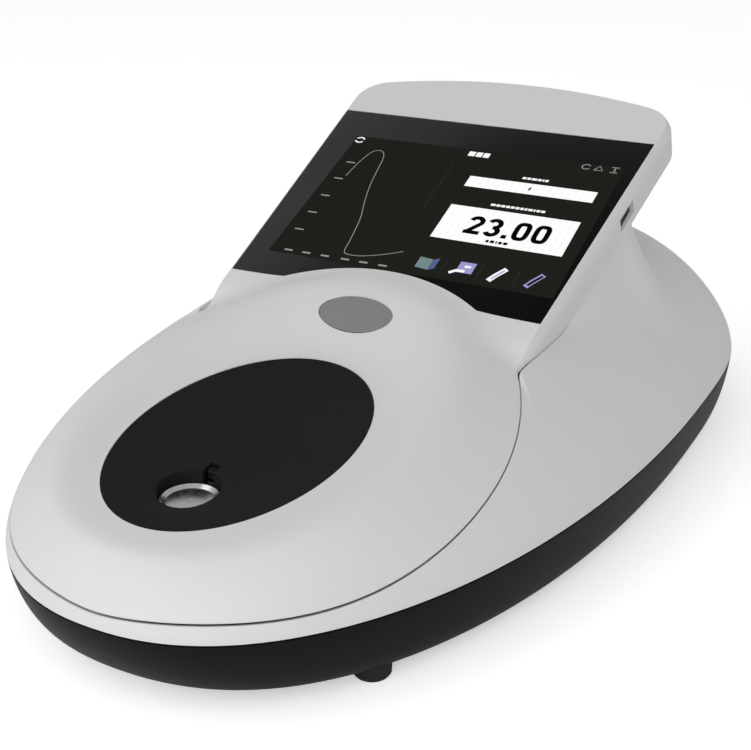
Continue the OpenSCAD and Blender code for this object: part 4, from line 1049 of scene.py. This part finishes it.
def through(points, steps=10):
    """A smooth path through points."""
    p = np.array([points[0]] + list(points) + [points[-1]], float)
    path = []
    for k in range(1, len(p) - 2):
        for t in np.linspace(0, 1, steps, endpoint=False):
            path.append(0.5 * (2 * p[k] + (p[k + 1] - p[k - 1]) * t
                               + (2 * p[k - 1] - 5 * p[k] + 4 * p[k + 1] - p[k + 2]) * t * t
                               + (3 * p[k] - p[k - 1] - 3 * p[k + 1] + p[k + 2]) * t ** 3))
    return np.array(path + [p[-1]])


def show(name, ink, pieces):
    """Join layers into one named piece of the display, on the glass."""
    obj = move(join(name, pieces), SCREEN)
    obj.data.materials.append(MATS[ink])
    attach(obj, "root")


def digit_nought(x, v):
    half_w, half_h = (DIGIT_W - STROKE) / 2, (DIGIT_H - STROKE) / 2
    t = np.radians(np.arange(0, 360, 7.5))
    c, s = np.cos(t), np.sin(t)
    ring = np.stack([x + half_w * np.sign(c) * np.abs(c) ** ROUND_OFF,
                     v + half_h * np.sign(s) * np.abs(s) ** ROUND_OFF], -1)
    return [stroke(ring, STROKE, TYPE, closed=True)]


def digit_two(x, v):
    half_w, foot = (DIGIT_W - STROKE) / 2, v - (DIGIT_H - STROKE) / 2
    top = v + DIGIT_H / 2 - STROKE / 2 - half_w
    path = np.concatenate([arc(x, top, half_w, half_w, 170, -30), [[x - half_w + 0.5, foot + 0.4]]])
    return [cut(stroke(path, STROKE, TYPE), [bar(x, foot, DIGIT_W, STROKE, TYPE)], "UNION")]


def digit_three(x, v):
    half_w, rise = (DIGIT_W - STROKE) / 2, (DIGIT_H - STROKE) / 4
    upper = stroke(arc(x - 0.2, v + rise, half_w, rise, 160, -90), STROKE, TYPE)
    lower = stroke(arc(x, v - rise, half_w, rise, 100, -160), STROKE, TYPE)
    return [cut(upper, [lower], "UNION")]


def make_background():
    (left, right), (low, high) = LCD_X, LCD_V
    show("display_background", "display_dark",
         [plate([(left, low), (right, low), (right, high), (left, high)], BACKGROUND)])


def make_readings():
    """White boxes for the sample and the result, with the result's number and its unit."""
    mid = sum(BOX_X) / 2
    width = BOX_X[1] - BOX_X[0]
    boxes = [bar(mid, sum(span) / 2, width, span[1] - span[0], PAPER) for span in (SAMPLE_V, RESULT_V)]
    show("display_boxes", "display_white", boxes)
    two, three, nought, last = DIGIT_X
    digits = digit_two(two, DIGIT_V) + digit_three(three, DIGIT_V) + [bar(*POINT, STROKE, STROKE, TYPE)]
    digits += digit_nought(nought, DIGIT_V) + digit_nought(last, DIGIT_V)
    unit_v, unit_h, unit_bars = UNIT_WORD
    digits += word(mid, unit_v, unit_bars, unit_h, TYPE) + [bar(mid, *SAMPLE_MARK, TYPE, 0.2)]
    show("display_digits", "display_black", digits)
    (title_x, title_v), title_h, title_bars = TITLE
    captions = word(title_x, title_v, title_bars, title_h, PAPER)
    for v, bars in (SAMPLE_CAPTION, RESULT_CAPTION):
        captions += word(mid, v, bars, CAPTION_H, PAPER, CAPTION_GAP)
    captions += [stroke(arc(TURN_X, TURN_V, 1.9, 1.7, *span), 0.7, PAPER) for span in ((20, 150), (200, 330))]
    show("display_captions", "display_white", captions)


def make_graph():
    """Ticks and curve of the graph, the small signs at the top right and the dividing lines."""
    marks = [bar(TICK_X, v, 4.0, 0.7, PAPER) for v in TICKS_V]
    marks += [bar(x, TICK_V, 3.6, 0.9, PAPER) for x in TICKS_X]
    marks += [stroke(arc(48.2, SIGN_V, 1.7, 1.5, 30, 330), SIGN_LINE, PAPER),
              stroke([(51.6, 89), (55.2, 89), (53.4, 91.9), (51.9, 89.3)], SIGN_LINE, PAPER)]
    marks += [stroke([(58.3, v), (61.3, v)], SIGN_LINE, PAPER) for v in (88.7, 92)]
    marks += [bar(59.8, SIGN_V, 0.6, 2.2, PAPER), stroke(through(CURVE), CURVE_LINE, PAPER)]
    show("display_marks", "display_grey", marks)
    rules_x, rules_v, rules_w, rules_h = ICON_RULES
    rules = [bar(*RULE, PAPER)] + [bar(x, rules_v, rules_w, rules_h, PAPER) for x in rules_x]
    show("display_lines", "display_faint", rules)


def make_icons():
    """Case, card, tube and vial at the foot of the display."""
    icons = (
        ("icon_case_front", "display_teal",
         [plate([(6.6, 18), (12.2, 17.4), (12.2, 23.4), (6.6, 24)], PAPER)]),
        ("icon_case_side", "display_blue",
         [plate([(12.4, 17.4), (14.4, 18.6), (14.4, 24.6), (12.4, 23.4)], PAPER)]),
        ("icon_card", "display_lavender", [bar(26.2, 21.8, 6.4, 6.0, PAPER)]),
        ("icon_card_mark", "display_white",
         [stroke([(20.8, 17.8), (23.0, 19.6), (26.4, 19.8)], 1.4, TYPE), bar(26.6, 22.4, 2.4, 1.2, TYPE)]),
        ("icon_tube", "display_white", [stroke([(36.9, 17.0), (38.5, 20.2), (41.3, 24.6)], 2.3, PAPER)]),
        ("icon_tube_core", "display_lavender",
         [stroke([(37.6, 18.0), (39.0, 20.6), (41.0, 23.8)], 0.7, TYPE)]),
        ("icon_vial", "display_lavender", [stroke([(51.4, 17.0), (53.0, 20.2), (55.8, 24.6)], 2.3, PAPER)]),
        ("icon_vial_core", "display_black", [stroke([(51.9, 17.9), (53.4, 20.6), (55.6, 24.0)], 1.1, TYPE)]),
    )
    for name, ink, pieces in icons:
        show(name, ink, pieces)


make_background()
make_readings()
make_graph()
make_icons()

# Dark tongue inside the display's USB socket
TONGUE_IN = (6, 1.6)
TONGUE_GAP_V = 0.9
TONGUE_GAP_D = 0.8
tongue_hv = USB_W / 2 - TONGUE_GAP_V
tongue_hd = USB_H / 2 - TONGUE_GAP_D
tongue_low = (USB_FACE - TONGUE_IN[0], USB_UP - tongue_hv, -USB_DEEP - tongue_hd)
tongue_high = (USB_FACE - TONGUE_IN[1], USB_UP + tongue_hv, -USB_DEEP + tongue_hd)
dress(move(block("usb_tongue", tongue_low, tongue_high), SCREEN), "black_plastic")

# Stage: white floor that is lit up for the camera only, so it joins the white background
WHITE = (1, 1, 1, 1)
FLOOR_SIZE = 6
FLOOR_TONE = (0.9, 0.9, 0.9, 1)
FLOOR_GLOW = 0.42
floor_mesh = add_mesh("floor", [(-1, -1, 0), (1, -1, 0), (1, 1, 0), (-1, 1, 0)], [(0, 1, 2, 3)], FLOOR_SIZE)
floor_mat, floor_tree, floor_bsdf = node_material("floor")
floor_bsdf.inputs["Base Color"].default_value = FLOOR_TONE
floor_bsdf.inputs["Roughness"].default_value = 1
floor_bsdf.inputs["Specular IOR Level"].default_value = 0
floor_bsdf.inputs["Emission Color"].default_value = WHITE
glow = floor_tree.nodes.new("ShaderNodeMath")
glow.operation = "MULTIPLY"
glow.inputs[1].default_value = FLOOR_GLOW
floor_rays = floor_tree.nodes.new("ShaderNodeLightPath")
floor_tree.links.new(floor_rays.outputs["Is Camera Ray"], glow.inputs[0])
floor_tree.links.new(glow.outputs[0], floor_bsdf.inputs["Emission Strength"])
floor_mesh.data.materials.append(floor_mat)

# World: plain white for the camera; for all else a sky that is brighter low down and toward the nose
SKY_MEAN = 0.84
SKY_SWING = 0.40
SKY_TOWARD = (0, -0.35, -0.94)
scene = bpy.context.scene
scene.view_settings.view_transform = "Standard"
world = bpy.data.worlds.new("studio")
scene.world = world
world.use_nodes = True
tree = world.node_tree
background = tree.nodes["Background"]
background.inputs["Color"].default_value = WHITE
sky = tree.nodes.new("ShaderNodeVectorMath")
sky.operation = "DOT_PRODUCT"
sky.inputs[1].default_value = SKY_TOWARD
tree.links.new(tree.nodes.new("ShaderNodeTexCoord").outputs["Generated"], sky.inputs[0])
swing = tree.nodes.new("ShaderNodeMath")
swing.operation = "MULTIPLY_ADD"
swing.inputs[1].default_value = SKY_SWING
swing.inputs[2].default_value = SKY_MEAN
tree.links.new(sky.outputs["Value"], swing.inputs[0])
tree.links.new(swing.outputs[0], background.inputs["Strength"])
white = tree.nodes.new("ShaderNodeBackground")
white.inputs["Color"].default_value = WHITE
white.inputs["Strength"].default_value = 1
pick = tree.nodes.new("ShaderNodeMixShader")
rays = tree.nodes.new("ShaderNodeLightPath")
tree.links.new(rays.outputs["Is Camera Ray"], pick.inputs[0])
tree.links.new(background.outputs[0], pick.inputs[1])
tree.links.new(white.outputs[0], pick.inputs[2])
tree.links.new(pick.outputs[0], tree.nodes["World Output"].inputs["Surface"])


def softbox(name, place, aim, size, power):
    """A rectangular light at a place in metres, turned to what it aims at."""
    light = bpy.data.lights.new(name, "AREA")
    light.shape = "RECTANGLE"
    light.size, light.size_y = size
    light.energy = power
    obj = bpy.data.objects.new(name, light)
    obj.location = place
    obj.rotation_euler = (Vector(aim) - Vector(place)).to_track_quat("-Z", "Y").to_euler()
    scene.collection.objects.link(obj)


softbox("key", (-0.5, -0.6, 0.62), (0, -0.1, 0.04), (0.7, 0.7), 1.7)
softbox("front", (0.1, -0.9, 0.45), (0, -0.1, 0.04), (1.0, 0.5), 2.6)
softbox("fill", (0.5, -0.45, 0.7), (0, -0.05, 0.04), (0.7, 0.6), 0.9)

# Camera, as fitted to the photo; places in metres
AZIMUTH = math.radians(28.3)
ELEVATION = math.radians(23.1)
EYE = (0.2151, -0.4097, 0.2363)
FOCAL_PX = 1313
IMAGE_PX = 751
SENSOR = 36
NEAREST = 0.01
camera_data = bpy.data.cameras.new("camera")
camera_data.sensor_width = SENSOR
camera_data.lens = FOCAL_PX * SENSOR / IMAGE_PX
camera_data.clip_start = NEAREST
camera = bpy.data.objects.new("camera", camera_data)
back = Vector((math.sin(AZIMUTH) * math.cos(ELEVATION), -math.cos(AZIMUTH) * math.cos(ELEVATION),
               math.sin(ELEVATION)))
camera.location = EYE
camera.rotation_euler = back.to_track_quat("Z", "Y").to_euler()
scene.collection.objects.link(camera)
scene.camera = camera
